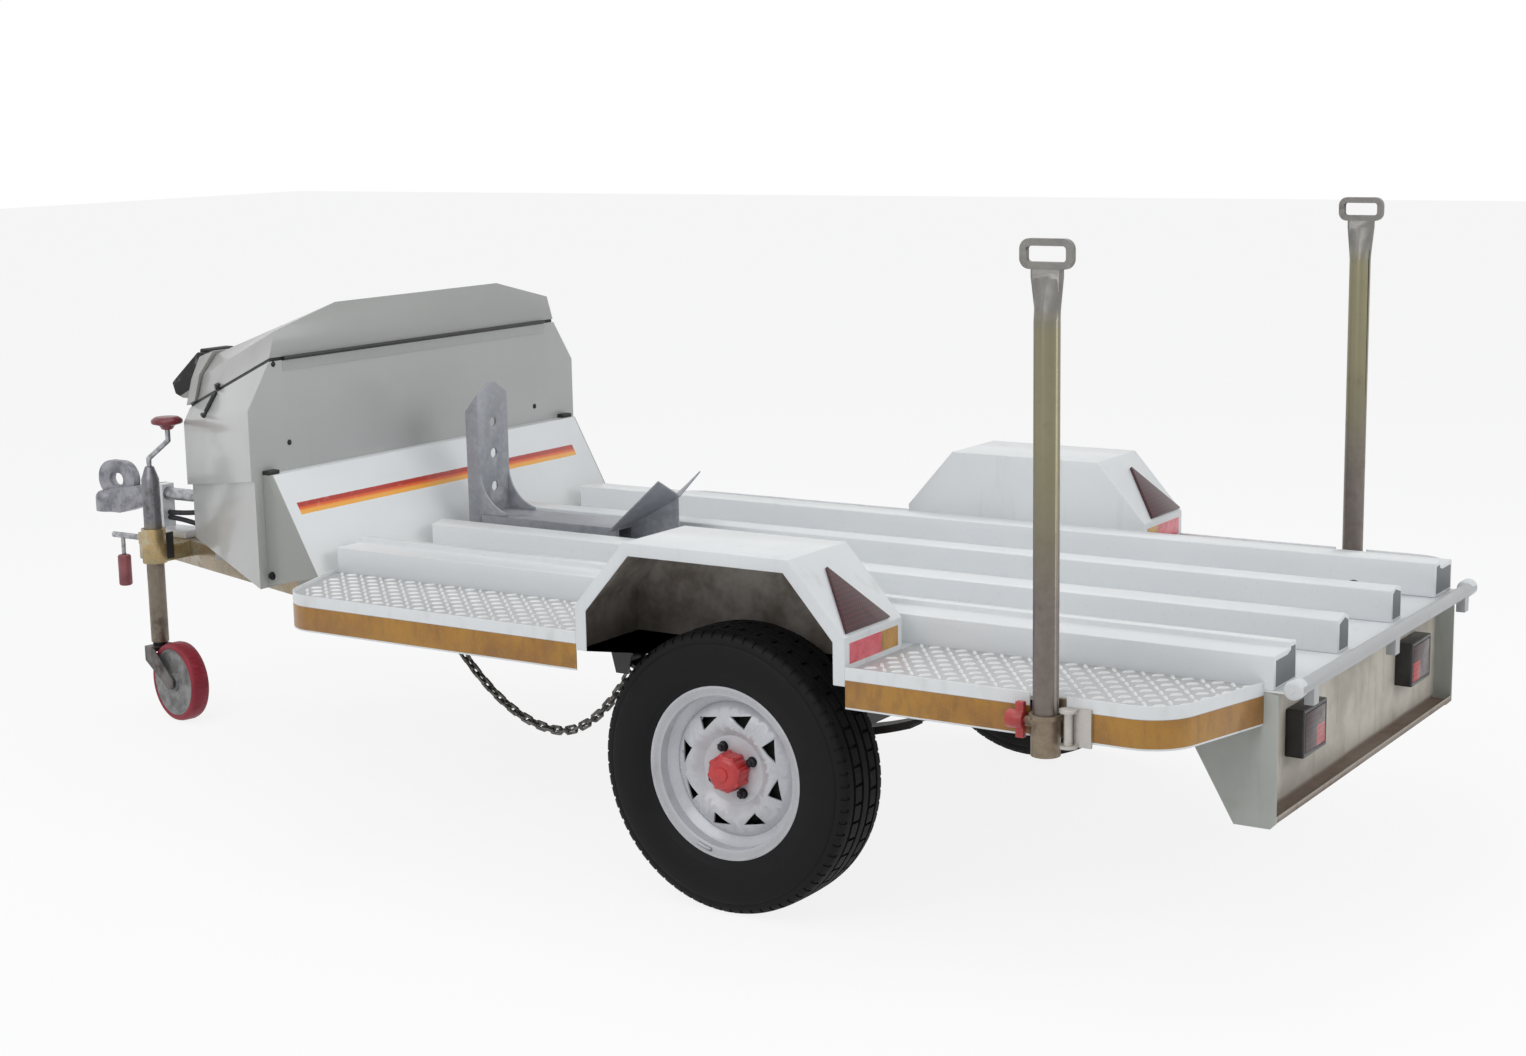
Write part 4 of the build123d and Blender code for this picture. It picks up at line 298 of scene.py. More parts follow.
def taped_paint():
    """White skirt with a broad band of amber tape under its pale top edge."""
    finish = Finish("taped_skirt_paint")
    low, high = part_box("skirts_left")
    height = finish.axes()[2]
    top = high.z - 0.026
    foot = low.z + 0.004
    band = (height < top) * (height > foot)
    rim = abs(height - top).spread(0.0014, 0.0004)
    web = finish.tape_web()
    clouds = finish.patches(0.34, 0.68, 9, 4, 0.6)
    blotch = finish.patches(0.45, 0.72, 42, 3, stretch=(1, 1, 0.4))
    dirt = finish.patches(0.5, 0.8, 26, 5, stretch=(1, 1, 0.3))
    tape = finish.layers(
        (172, 122, 30), (clouds, (150, 100, 30)), (blotch * 0.5, (124, 82, 34)),
        (web * 0.15, (200, 152, 66)), (dirt * 0.35, (112, 90, 66)),
    )
    paint = finish.mix(dirt * 0.3, WHITE, DUST)
    base = finish.layers(paint, (band, tape), (rim * 0.5, (120, 100, 74)))
    skin = finish.bump(band * (1 + web * 0.3), 0.0003, 0.8)
    roughness = dirt.spread(0, 1, 0.34, 0.55)
    return finish.close(base, roughness, skin, coat=0.3)


def mast_zinc():
    """Zinc film on the masts: warm grey at the foot, then green-gold, plain grey at the neck."""
    finish = Finish("mast_zinc")
    height = finish.axes()[2]
    film = finish.noise(6, 4, 0.6, distortion=0.6)
    fine = finish.noise(52, 4, 0.6)
    level = height + (film - 0.5) * 0.12
    gold = finish.mix(film, (144, 137, 110), (120, 116, 92))
    neck = finish.mix(fine, (140, 138, 134), (112, 110, 108))
    stain = finish.patches(0.52, 0.78, 15, 5, 0.65)
    base = finish.layers(
        (132, 123, 117), (fine, (98, 90, 85)), (level.spread(0.70, 1.02), gold),
        (level.spread(1.22, 1.30), neck), (stain * 0.4, (92, 80, 68)),
    )
    skin = finish.drawn_lines(0.00006)
    roughness = (fine * 0.5 + stain * 0.6).spread(0.1, 1.0, 0.34, 0.62)
    return finish.close(base, roughness, skin, metal=0.55)


def stand_zinc():
    """Zinc on the jockey stand: steel grey above the clamp and warm brown-grey below it."""
    finish = Finish("jockey_stand_zinc")
    clamp_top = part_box("jockey_clamp")[1].z
    height = finish.axes()[2]
    fine = finish.noise(60, 4, 0.6)
    film = finish.noise(9, 4, 0.6, distortion=0.5)
    upper = finish.mix(fine, (142, 142, 148), (104, 103, 108))
    lower = finish.mix(fine, (142, 132, 118), (106, 96, 84))
    below = (height + (film - 0.5) * 0.05).spread(clamp_top + 0.03, clamp_top - 0.01)
    stain = finish.patches(0.5, 0.76, 21, 5, 0.65)
    base = finish.layers(upper, (below, lower), (stain * 0.6, (62, 52, 44)))
    skin = finish.drawn_lines(0.00008)
    roughness = (stain + fine * 0.4).spread(0, 1.3, 0.34, 0.62)
    return finish.close(base, roughness, skin, metal=0.5)


def hinge_paint():
    """The hinge's pin is dark with grease in the seam; its leaf is painted with the nose box."""
    finish = Finish("lid_hinge_paint")
    hinge_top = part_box("lid_hinge")[1].z
    side, height = finish.axes()[1:]
    pin = height.spread(hinge_top - 0.0105, hinge_top - 0.0085)
    mottle = finish.noise(60, 4, 0.6)
    leaf = finish.mix(mottle * 0.4, (184, 186, 184), (160, 160, 156))
    joints = finish.waves(side * 20).spread(0.05, 0.02)
    grease = finish.layers((34, 34, 36), (mottle, (58, 57, 58)), (joints, (10, 10, 10)))
    skin = finish.grain(400, 2, 0.00006, 0.5)
    base = finish.mix(pin, leaf, grease)
    return finish.close(base, (mottle + pin).spread(0, 2, 0.36, 0.6), skin)


def socket_zinc():
    """Browned zinc on the mast sockets; the keepers behind them are pale."""
    finish = Finish("socket_zinc")
    low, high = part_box("mast_left")
    mast_x = (low.x + high.x) / 2
    across, side = finish.axes()[:2]
    fine = finish.noise(60, 4, 0.6)
    stain = finish.patches(0.5, 0.75, 24, 5, 0.65)
    pale = finish.mix(fine, (206, 202, 198), (172, 166, 158))
    keepers = (across < mast_x - 0.0312) * (abs(side) > 0.8)
    base = finish.layers(
        (156, 142, 122), (fine, (108, 90, 72)), (stain * 0.6, (74, 58, 46)), (keepers, pale)
    )
    skin = finish.bump(fine, 0.0002, 0.5)
    return finish.close(base, stain.spread(0, 1, 0.4, 0.62), skin, metal=0.4)


def zinc_plated(name, light, warm, green, dark, metal):
    """Yellow-passivated zinc: gold with pink and green bands that drift over the tube."""
    finish = Finish(name)
    film = finish.noise(7.5, 4, 0.6, distortion=0.8)
    fine = finish.noise(46, 4, 0.6)
    thick = (film * 0.75 + fine * 0.25).spread(0.32, 0.68)
    stain = finish.patches(0.56, 0.78, 19, 5, 0.65)
    base = finish.layers(
        light, (thick.spread(0.0, 0.5), warm), (thick.spread(0.45, 1.0), green),
        (stain * 0.7, dark),
    )
    skin = finish.drawn_lines(0.00008)
    roughness = (fine * 0.5 + stain * 0.6).spread(0.1, 1.0, 0.26, 0.56)
    return finish.close(base, roughness, skin, metal=metal)


def galvanised_sheet():
    """Hot-dip zinc: crystals of slightly different greys, with a faint lilac tone."""
    finish = Finish("galvanised_spangle")
    crystal = finish.cells(85, "F1", "Color")
    tone = finish.axes(crystal)[0]
    edge = finish.cells(85, "F2") - finish.cells(85)
    clouds = finish.patches(0.35, 0.7, 14, 4)
    base = finish.layers(
        (148, 150, 156), (tone, (164, 166, 172)), (clouds * 0.5, (152, 154, 160)),
        (edge.spread(0.12, 0.0) * 0.2, (130, 132, 138)),
    )
    rub = finish.grain(240, 3, 0.0001, 0.4)
    roughness = (tone * 0.6 + clouds * 0.4).spread(0, 1, 0.38, 0.6)
    return finish.close(base, roughness, rub, metal=0.45)


def bare_metal(name, light, dark, scale, rough, metal, grain):
    """Cast, bright or dull metal with mottling and a fine surface grain."""
    finish = Finish(name)
    mottle = finish.patches(0.32, 0.7, scale, 5, 0.6)
    pits = finish.patches(0.6, 0.75, scale * 6, 3)
    base = finish.layers(light, (mottle, dark), (pits * 0.6, faded(dark, 0.35)))
    skin = finish.grain(scale * 9, 3, grain, 0.7)
    roughness = (mottle * 0.7 + pits * 0.5).spread(0, 1, rough, rough + 0.25)
    return finish.close(base, roughness, skin, metal=metal)


def rubber(name, colour, dust, rough=0.62):
    """Matt rubber with a dusty bloom."""
    finish = Finish(name)
    bloom = finish.patches(0.42, 0.78, 11, 5, 0.6)
    scuff = finish.patches(0.6, 0.78, 70, 4, stretch=(1, 1, 0.25))
    base = finish.mix(bloom * 0.45 + scuff * 0.25, colour, dust)
    skin = finish.grain(500, 2, 0.00012, 0.6)
    return finish.close(base, bloom.spread(0, 1, rough, rough + 0.2), skin)


def tyre_rubber(name, centre):
    """Road tyre: dark rubber, grey scrub on the tread and fine rings pressed into the side wall."""
    finish = Finish(name)
    radius = finish.reach(centre)
    bloom = finish.patches(0.4, 0.8, 12, 5, 0.6)
    tread = radius.spread(0.286, 0.294)
    low = finish.axes()[2].spread(0.12, 0.0)
    base = finish.layers(
        (5, 5, 8), (bloom * 0.5, (17, 16, 19)), (tread * bloom, (26, 25, 26)),
        (low * bloom * 0.3, (44, 41, 38)),
    )
    rings = finish.maths("SINE", radius * 2400)
    side = radius.spread(0.276, 0.27)
    skin = finish.bump(rings * side, 0.00012, 0.5)
    skin = finish.grain(480, 2, 0.0001, 0.5, skin)
    roughness = (bloom * 0.6 + tread * 0.4).spread(0, 1, 0.6, 0.85)
    return finish.close(base, roughness, skin, shine=0.22)


def glossy_plastic(name, colour, dark, rough, coat):
    """Moulded plastic with faint cloudiness."""
    finish = Finish(name)
    clouds = finish.patches(0.35, 0.7, 24, 4)
    base = finish.mix(clouds * 0.6, colour, dark)
    scratches = finish.patches(0.62, 0.74, 130, 4, stretch=(1, 0.15, 1))
    skin = finish.grain(380, 2, 0.00004, 0.5)
    roughness = (clouds * 0.4 + scratches).spread(0, 1.2, rough, rough + 0.3)
    return finish.close(base, roughness, skin, coat=coat, coat_roughness=0.08)


def prism_lens(name, bright, deep, pitch):
    """Red lens with rows of small prisms behind a smooth face."""
    finish = Finish(name)
    across, depth, height = finish.axes()
    prism = finish.waves(height * pitch) * finish.waves((depth + across) * pitch)
    clouds = finish.noise(30, 3)
    base = finish.layers(
        deep, (prism.spread(0.1, 0.9), bright),
        (clouds.spread(0.5, 0.75) * 0.35, deep),
    )
    skin = finish.bump(prism, 0.0004, 0.4)
    return finish.close(base, 0.3, skin, coat=0.3, coat_roughness=0.1, shine=0.3)


def latch_paint():
    """The latch's wings are painted with the lid; a black rubber hood covers its beak, its light
    grey patches partly wear and partly painted highlight.
    """
    finish = Finish("latch_two_tone")
    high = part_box("latch_catch")[1]
    across, side, height = finish.axes()
    clouds = finish.noise(22, 4, 0.6)
    fine = finish.noise(180, 3)
    beak = across.spread(high.x - 0.129, high.x - 0.127) * abs(side).spread(0.0915, 0.0905)
    hood = beak * (height + (across - high.x) * 0.5).spread(high.z - 0.150, high.z - 0.146)
    # Light grey patches on the black hood: partly wear, partly painted highlight.
    wear_and_highlight = (clouds + fine * 0.2).spread(0.66, 0.80)
    black = finish.layers((22, 22, 24), (clouds, (44, 44, 46)), (wear_and_highlight * 0.7, (128, 130, 130)))
    paint = finish.mix(clouds * 0.5, (168, 169, 167), (148, 148, 144))
    skin = finish.bump(fine, 0.00012, 0.5)
    base = finish.mix(hood, paint, black)
    return finish.close(base, hood.spread(0, 1, 0.4, 0.66), skin, shine=0.4)


def lamp_lens():
    """Lamp lens: smoked maroon with a clear red light in the lower inner corner, and bars."""
    finish = Finish("tail_lamp_lens")
    low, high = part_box("tail_lamp_lenses")
    middle = (low.z + high.z) / 2
    side, height = finish.axes()[1:]
    ribs = finish.waves(height * 190)
    fine = finish.waves(side * 260)
    clouds = finish.noise(26, 4)
    lit = height.spread(middle + 0.0045, middle + 0.0035)
    lit = lit * abs(side).spread(high.y - 0.062, high.y - 0.063)
    smoked = finish.layers((34, 10, 14), (ribs, (70, 18, 26)), (clouds * 0.5, (24, 18, 20)))
    clear = finish.mix(ribs * 0.6 + fine * 0.4, (132, 20, 30), (196, 52, 60))
    bar = abs(height - (middle + 0.005)).spread(0.0022, 0.0016)
    base = finish.layers(smoked, (lit, clear), (bar, (16, 14, 15)))
    skin = finish.bump(ribs * 0.6 + fine * 0.4 - bar, 0.0004, 0.5)
    roughness = clouds.spread(0.3, 0.7, 0.2, 0.42)
    return finish.close(base, roughness, skin, coat=0.25, shine=0.3)


def wheel_paint():
    """White wheel enamel with dust patches, darker where the tyre meets it, and near-black painted
    shade behind its face.
    """
    finish = Finish("wheel_enamel")
    low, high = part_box("tyre_left")
    hub = (low + high) / 2
    disc_back = hub.y + 0.0125
    reach = finish.reach(hub)
    clouds = finish.noise(14, 4, 0.6)
    fine = finish.noise(120, 3)
    # Behind the disc face the enamel is near-black: painted shade.
    inside = abs(finish.axes()[1]).spread(disc_back, disc_back - 0.005)
    seat = reach.spread(0.158, 0.170) * reach.spread(0.182, 0.174)
    dust = (clouds * 0.7 + fine * 0.5).spread(0.45, 0.95)
    base = finish.layers(
        (204, 206, 211), (clouds * 0.6, (188, 189, 195)), (dust * 0.35, (146, 142, 142)),
        (seat * 0.25, (120, 116, 116)), (inside, finish.mix(fine, (26, 25, 26), (50, 47, 46))),
    )
    skin = finish.orange_peel(0.00004)
    roughness = (dust * 0.6 + inside * 0.6).spread(0, 1, 0.26, 0.6)
    coat = inside.spread(0, 1, 0.4, 0)
    return finish.close(base, roughness, skin, coat=coat, coat_roughness=0.15)


def reflective_tape(name, colour, bright, deep):
    """Reflective tape: small six-sided cells under a clear film, with streaks of road dirt."""
    finish = Finish(name)
    web = finish.tape_web()
    clouds = finish.patches(0.36, 0.68, 16, 4, 0.6)
    blotch = finish.patches(0.45, 0.72, 60, 3)
    dirt = finish.patches(0.55, 0.8, 34, 5, stretch=(1, 1, 0.3))
    base = finish.layers(
        colour, (clouds * 0.7, bright), (blotch * 0.45, deep), (web * 0.35, bright),
        (dirt * 0.35, (92, 74, 50)),
    )
    skin = finish.bump(web, 0.00015, 0.5)
    roughness = dirt.spread(0, 1, 0.3, 0.55)
    return finish.close(base, roughness, skin, coat=0.5, coat_roughness=0.1)


def striped_panel():
    """White splash panel with a straight stripe in red, orange and yellow across its face."""
    finish = Finish("splash_panel_paint")
    side, height = finish.axes()[1:]
    low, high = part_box("splash_panel")
    middle = low.z + 0.66 * (high.z - low.z)
    level = height + finish.noise(90, 3) * 0.0016
    wide = 0.027
    inside = (level > middle - wide / 2) * (level < middle + wide / 2)
    near = (side > -0.52) * (side < 0.548)
    clouds = finish.patches(0.35, 0.7, 3.1, 4)
    scuff = finish.patches(0.56, 0.72, 55, 5, 0.65)
    blend = level.spread(middle + wide * 0.3, middle - wide * 0.32)
    stripe = finish.layers(
        (172, 40, 22), (blend.spread(0.0, 0.45), (222, 96, 38)),
        (blend.spread(0.5, 1.0), (236, 168, 66)),
    )
    base = finish.layers(
        WHITE, (clouds * 0.5, faded(WHITE, 0.93)),
        (height.spread(low.z + 0.1, low.z) * 0.25, DUST),
        (inside * near * (1 - scuff * 0.12), stripe),
    )
    skin = finish.orange_peel(0.00006)
    roughness = (clouds + scuff * 0.3).spread(0, 1, 0.3, 0.5)
    return finish.close(base, roughness, skin, coat=0.35)


white_paint = painted("satin_white_paint", WHITE, DUST, 0.35)
worn_white = painted("worn_white_paint", (214, 217, 219), (150, 146, 138), 0.2, 0.0001, 0.42)
underside_white = painted("dusty_underside_paint", (176, 174, 168), ROAD_DIRT, 0.0, 0.0001, 0.55)
wheel_white = wheel_paint()
grey_paint = painted("nose_grey_paint", (184, 186, 184), (146, 146, 140), 0.35, 0.00008, 0.38)
# The gussets take a darker copy of the nose box's grey: painted shade.
gusset_shaded_grey = painted("gusset_grey_paint", (156, 158, 154), (108, 108, 102), 0.3, 0.00008, 0.4)
arch_paint = wheel_well_paint()
valance_paint = rear_panel_paint()
skirt_paint = taped_paint()
seam_finish = hinge_paint()
# Painted shadow for the hollow insides of the rails' open ends.
rail_end_shadow = painted("rail_hollow_shadow", (120, 124, 126), (74, 72, 70), 0.0, 0.0001, 0.6)
mast_finish = mast_zinc()
stand_finish = stand_zinc()
# The tread bars are a lighter copy of the white paint: a painted highlight on their raised tops.
tread_bar_highlight = painted("tread_bar_highlight_paint", (234, 235, 236), (184, 180, 174), 0.3, 0.00004, 0.3)
disc_steel = bare_metal(
    "jockey_disc_steel", (150, 150, 150), (104, 103, 104), 24, 0.46, 0.4, 0.0001
)
lid_paint = painted("lid_paint", (168, 169, 167), (134, 132, 126), 0.3, 0.00006, 0.38)
# The ground between the tread bars is a darker copy of the white paint: painted shade between the
# bars.
tread_ground_shade = painted("tread_ground_paint", (184, 185, 186), (130, 126, 121), 0.2, 0.0001, 0.46)
socket_finish = socket_zinc()
black_paint = painted("chassis_black_paint", (34, 34, 35), (74, 68, 60), 0.15, 0.0001, 0.42)
panel_paint = striped_panel()
yellow_zinc = zinc_plated(
    "yellow_zinc", (188, 178, 150), (176, 152, 108), (150, 142, 116), (96, 76, 54), 0.7
)
drawbar_zinc = zinc_plated(
    "drawbar_zinc", (176, 168, 150), (164, 146, 118), (140, 132, 112), (92, 76, 58), 0.6
)
galvanised = galvanised_sheet()
cast_grey = bare_metal("cast_zinc_grey", (168, 168, 174), (122, 122, 130), 26, 0.44, 0.5, 0.0002)
bright_steel = bare_metal("bright_zinc", (186, 188, 192), (140, 141, 144), 60, 0.28, 0.85, 0.00008)
chain_steel = bare_metal("chain_zinc", (120, 119, 116), (66, 62, 58), 90, 0.42, 0.7, 0.0002)
black_rubber = rubber("black_rubber", (24, 24, 25), (62, 61, 60))
red_rubber = rubber("red_rubber_tread", (150, 34, 52), (84, 22, 34), 0.5)
red_plastic = glossy_plastic("red_plastic", (200, 48, 50), (150, 30, 32), 0.34, 0.3)
knob_plastic = glossy_plastic("faded_red_plastic", (184, 62, 62), (134, 34, 36), 0.42, 0.15)
grip_plastic = glossy_plastic("faded_maroon_plastic", (150, 84, 90), (98, 44, 52), 0.42, 0.15)
dark_red_plastic = glossy_plastic("dark_red_plastic", (128, 44, 54), (88, 26, 34), 0.38, 0.2)
fork_steel = bare_metal("fork_dull_zinc", (120, 114, 114), (74, 68, 68), 30, 0.46, 0.5, 0.0002)
crossbar_paint = painted("crossbar_paint", (176, 178, 180), (112, 106, 102), 0.1, 0.0001, 0.42)
black_plastic = glossy_plastic("black_plastic", (30, 28, 28), (48, 42, 40), 0.38, 0.2)
reflector_red = prism_lens("reflector_red", (92, 22, 34), (52, 14, 22), 260)
tail_lens = lamp_lens()
latch_finish = latch_paint()
amber_tape = reflective_tape("amber_tape", (186, 132, 44), (214, 164, 78), (142, 92, 30))
drum_iron = bare_metal("drum_cast_iron", (50, 48, 46), (28, 27, 26), 40, 0.6, 0.4, 0.0002)
nut_black = bare_metal("blackened_nuts", (46, 44, 48), (28, 27, 29), 80, 0.4, 0.5, 0.0001)
wire_black = rubber("black_cable_sheath", (28, 27, 34), (70, 66, 78), 0.5)
red_tape = reflective_tape("red_tape", (214, 70, 84), (240, 130, 140), (168, 36, 50))


# ---- modelling helpers ----
def done():
    bpy.ops.object.mode_set(mode="OBJECT")


def only(*pieces):
    """Picks these pieces and nothing else; the first is the one that is worked on."""
    if bpy.context.object and bpy.context.object.mode != "OBJECT":
        done()
    bpy.ops.object.select_all(action="DESELECT")
    for piece in pieces:
        piece.select_set(True)
    bpy.context.view_layer.objects.active = pieces[0]


def named_new(name):
    piece = bpy.context.object
    piece.name = piece.data.name = name
    return piece


def edit_all(piece, kind="VERT", action="SELECT"):
    only(piece)
    bpy.ops.object.mode_set(mode="EDIT")
    bpy.ops.mesh.select_mode(type=kind)
    bpy.ops.mesh.select_all(action=action)


def edit_faces(piece, test):
    """Opens the piece with only those faces picked whose middle passes the test."""
    edit_all(piece, "FACE", "DESELECT")
    done()
    for face in piece.data.polygons:
        face.select = test(face.center)
    bpy.ops.object.mode_set(mode="EDIT")


def settle(piece):
    """Moves a piece's place into its mesh."""
    only(piece)
    bpy.ops.object.transform_apply(location=True, rotation=True, scale=True)
    return piece


def apply_modifier(piece, kind, **settings):
    only(piece)
    modifier = piece.modifiers.new(kind.lower(), kind)
    for name, setting in settings.items():
        setattr(modifier, name, setting)
    bpy.ops.object.modifier_apply(modifier=modifier.name)
    return piece


def eased(piece, width, segments=2, angle=35.0):
    """Rounds the edges that are sharper than the angle."""
    return apply_modifier(
        piece, "BEVEL", width=width, segments=segments, limit_method="ANGLE",
        angle_limit=math.radians(angle), use_clamp_overlap=True,
    )


def smoothed(piece, angle=32.0):
    only(piece)
    bpy.ops.object.shade_smooth_by_angle(angle=math.radians(angle))
    return piece


def new_block(name, low, high):
    low, high = Vector(low), Vector(high)
    bpy.ops.mesh.primitive_cube_add(size=1, location=(low + high) / 2, scale=high - low)
    return settle(named_new(name))


def turn_to(direction):
    """The turn that brings the Z axis to a direction."""
    return Vector(direction).to_track_quat("Z", "Y").to_euler()


def new_rod(name, start, end, radius, sides=24, end_radius=None):
    start, end = Vector(start), Vector(end)
    bpy.ops.mesh.primitive_cone_add(
        vertices=sides, radius1=radius, radius2=radius if end_radius is None else end_radius,
        depth=(end - start).length, location=(start + end) / 2, rotation=turn_to(end - start),
    )
    return settle(named_new(name))


def drawn(name, points):
    """A line through the points, with all of it picked and open for more work."""
    bpy.ops.mesh.primitive_plane_add(size=0.001, location=(0, 0, 0))
    piece = named_new(name)
    edit_all(piece)
    bpy.ops.mesh.merge(type="CENTER")
    bpy.ops.transform.translate(value=points[0])
    for before, after in zip(points, points[1:]):
        step = tuple(end - start for start, end in zip(before, after))
        bpy.ops.mesh.extrude_region_move(TRANSFORM_OT_translate={"value": step})
    bpy.ops.mesh.select_all(action="SELECT")
    return piece


def new_turned(name, outline, steps):
    """Draws an outline of (radius, height) points and spins it about the Z axis."""
    piece = drawn(name, [(radius, 0, height) for radius, height in outline])
    bpy.ops.mesh.spin(steps=steps, angle=2 * math.pi, center=(0, 0, 0), axis=(0, 0, 1))
    bpy.ops.mesh.select_all(action="SELECT")
    bpy.ops.mesh.remove_doubles(threshold=0.00002)
    bpy.ops.mesh.normals_make_consistent(inside=False)
    done()
    return settle(piece)


def new_prism(name, outline, place, thick):
    """Draws a closed outline on the XY plane, fills it, makes it thick and puts it in place."""
    piece = drawn(name, [(*point, 0) for point in (*outline, outline[0])])
    bpy.ops.mesh.remove_doubles(threshold=0.00001)
    bpy.ops.mesh.edge_face_add()
    bpy.ops.mesh.extrude_region_move(TRANSFORM_OT_translate={"value": (0, 0, thick)})
    bpy.ops.mesh.select_all(action="SELECT")
    bpy.ops.mesh.normals_make_consistent(inside=False)
    done()
    piece.matrix_world = place
    return settle(piece)


def own_copy(piece, name):
    copy = piece.copy()
    copy.data = piece.data.copy()
    copy.name = copy.data.name = name
    bpy.context.scene.collection.objects.link(copy)
    return copy


def placed_copy(piece, name, place):
    """A copy with its own mesh, moved by a matrix."""
    copy = own_copy(piece, name)
    copy.matrix_world = place @ copy.matrix_world
    settle(copy)
    if place.determinant() < 0:
        edit_all(copy)
        bpy.ops.mesh.flip_normals()
        done()
    return copy


def joined(name, pieces):
    only(*pieces)
    if len(pieces) > 1:
        bpy.ops.object.join()
    return named_new(name)


def fitted(piece, body, material):
    """Paints a finished piece and lets it ride on its body."""
    piece.data.materials.clear()
    piece.data.materials.append(material)
    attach(piece, body)


def both_sides(piece, body, material):
    """The same piece on both sides of the trailer."""
    name = piece.name
    other = placed_copy(piece, name + "_right", Matrix.Scale(-1, 4, (0, 1, 0)))
    fitted(other, body, material)
    piece.name = piece.data.name = name + "_left"
    fitted(piece, body, material)


body_of = {}
for body, nodes in frame["record"]["behaviour"]["bodies"].items():
    body_of.update(dict.fromkeys(nodes, body))


def dressed(node, material, ease):
    """A CAD node's shape with its flat faces made whole and its edges eased, in its finish."""
    piece = own_copy(frame["nodes"][node], node + "_finished")
    piece.parent = None
    for key in [key for key in piece.keys() if key.startswith("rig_")]:
        del piece[key]
    edit_all(piece)
    bpy.ops.mesh.remove_doubles(threshold=0.000004)
    bpy.ops.mesh.dissolve_limited(angle_limit=math.radians(0.4))
    done()
    smoothed(eased(piece, ease))
    fitted(piece, body_of[node], material)
    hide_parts(node)


# ---- the frame's own pieces in their finishes ----
# These keep their own mesh.
for node, material in {
    "chassis_rails": underside_white,
    "cross_members": underside_white,
    "axle_beam": black_paint,
    "leaf_springs": black_paint,
    "spring_fittings": black_paint,
    "safety_chain": chain_steel,
    "hub_left": cast_grey,
    "hub_right": cast_grey,
}.items():
    mesh = frame["nodes"][node].data
    mesh.materials.clear()
    mesh.materials.append(material)

# A name without its side stands for the left piece and the right one.
for name, material, ease in (
    ("drawbar", drawbar_zinc, 0.004),
    ("deck_floor", white_paint, 0.0006),
    ("deck_rails", white_paint, 0.0022),
    ("tread_plates", tread_ground_shade, 0.0006),
    ("skirts", skirt_paint, 0.0012),
    ("wheel_arch", arch_paint, 0.0016),
    ("rear_crossbar", crossbar_paint, 0.002),
    ("rear_valance", valance_paint, 0.001),
    ("nose_body", grey_paint, 0.004),
    ("nose_seal", black_rubber, 0.001),
    ("nose_lid", lid_paint, 0.006),
    ("lid_hinge", seam_finish, 0.0005),
    ("splash_panel", panel_paint, 0.001),
    ("splash_gussets", gusset_shaded_grey, 0.0008),
    ("chock_upright", galvanised, 0.0012),
    ("chock_cradle", galvanised, 0.0012),
    ("mast", mast_finish, 0.002),
    ("mast_sockets", socket_finish, 0.0012),
    ("coupling_mount", white_paint, 0.002),
    ("coupling_shaft", bright_steel, 0.001),
    ("coupling_head", cast_grey, 0.004),
    ("coupling_handle", cast_grey, 0.003),
    ("jockey_clamp", yellow_zinc, 0.0015),
    ("clamp_screw", bright_steel, 0.0006),
    ("clamp_grip", grip_plastic, 0.003),
    ("jockey_outer_tube", stand_finish, 0.001),
    ("jockey_crank", bright_steel, 0.0004),
    ("jockey_grip", dark_red_plastic, 0.003),
    ("jockey_inner_tube", nut_black, 0.0006),
    ("jockey_fork", fork_steel, 0.0008),
    ("jockey_disc", disc_steel, 0.0012),
    ("jockey_tyre", red_rubber, 0.002),
    ("tail_lamp_housings", black_plastic, 0.006),
    ("tail_lamp_lenses", tail_lens, 0.002),
    ("nose_latch", black_rubber, 0.002),
    ("latch_catch", latch_finish, 0.003),
    ("socket_knobs", knob_plastic, 0.002),
    ("arch_reflectors", reflector_red, 0.0015),
    ("rim", wheel_white, 0.0012),
    ("hub_cap", red_plastic, 0.003),
):
    for node in [name] if name in body_of else [name + "_left", name + "_right"]:
        dressed(node, material, ease)


# ---- road wheels ----
WHEELS = {}
for side in ("left", "right"):
    low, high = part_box("tyre_" + side)
    WHEELS[side] = Vector((low + high) / 2)
TYRE_RADIUS = (high.z - low.z) / 2


def on_wheel(side):
    """Puts what is turned about Z on a road wheel's axle, its top outwards."""
    turn = math.radians(-90 if side == "left" else 90)
    return Matrix.Translation(WHEELS[side]) @ Matrix.Rotation(turn, 4, "X")


# From the bead over the side wall to the middle of the tread, as (below the tread, across).
tyre_half = [
    (0.1315, 0.0540), (0.1145, 0.0540), (0.1145, 0.0660), (0.1080, 0.0702), (0.1020, 0.0722),
    (0.1000, 0.0745), (0.0970, 0.0752), (0.0880, 0.0790), (0.0740, 0.0816), (0.0600, 0.0825),
    (0.0450, 0.0816), (0.0320, 0.0792), (0.0272, 0.0778), (0.0252, 0.0758), (0.0228, 0.0764),
    (0.0140, 0.0742), (0.0080, 0.0706), (0.0045, 0.0662), (0.0026, 0.0600), (0.0014, 0.0500),
    (0.0010, 0.0460), (0.0095, 0.0450), (0.0095, 0.0395), (0.0007, 0.0385), (0.0003, 0.0260),
    (0.0001, 0.0170), (0.0090, 0.0162), (0.0090, 0.0098), (0.0000, 0.0090),
]
tyre_half = [(TYRE_RADIUS - drop, across) for drop, across in tyre_half]
other_half = [(radius, -across) for radius, across in reversed(tyre_half)]
TYRE_STEPS = 288
tyre = new_turned("tyre_pattern", [*tyre_half, *other_half, tyre_half[0]], TYRE_STEPS)


def slot_test(near, far, least_radius, every, upper_start, lower_start):
    """A test for the tread faces in slots, in a band on each side of the tread's middle."""

    def in_slot(middle):
        sector = int((math.atan2(middle.y, middle.x) + math.pi) / (2 * math.pi) * TYRE_STEPS)
        in_band = near < abs(middle.z) < far and middle.xy.length > least_radius
        return in_band and sector % every == (upper_start if middle.z > 0 else lower_start)

    return in_slot


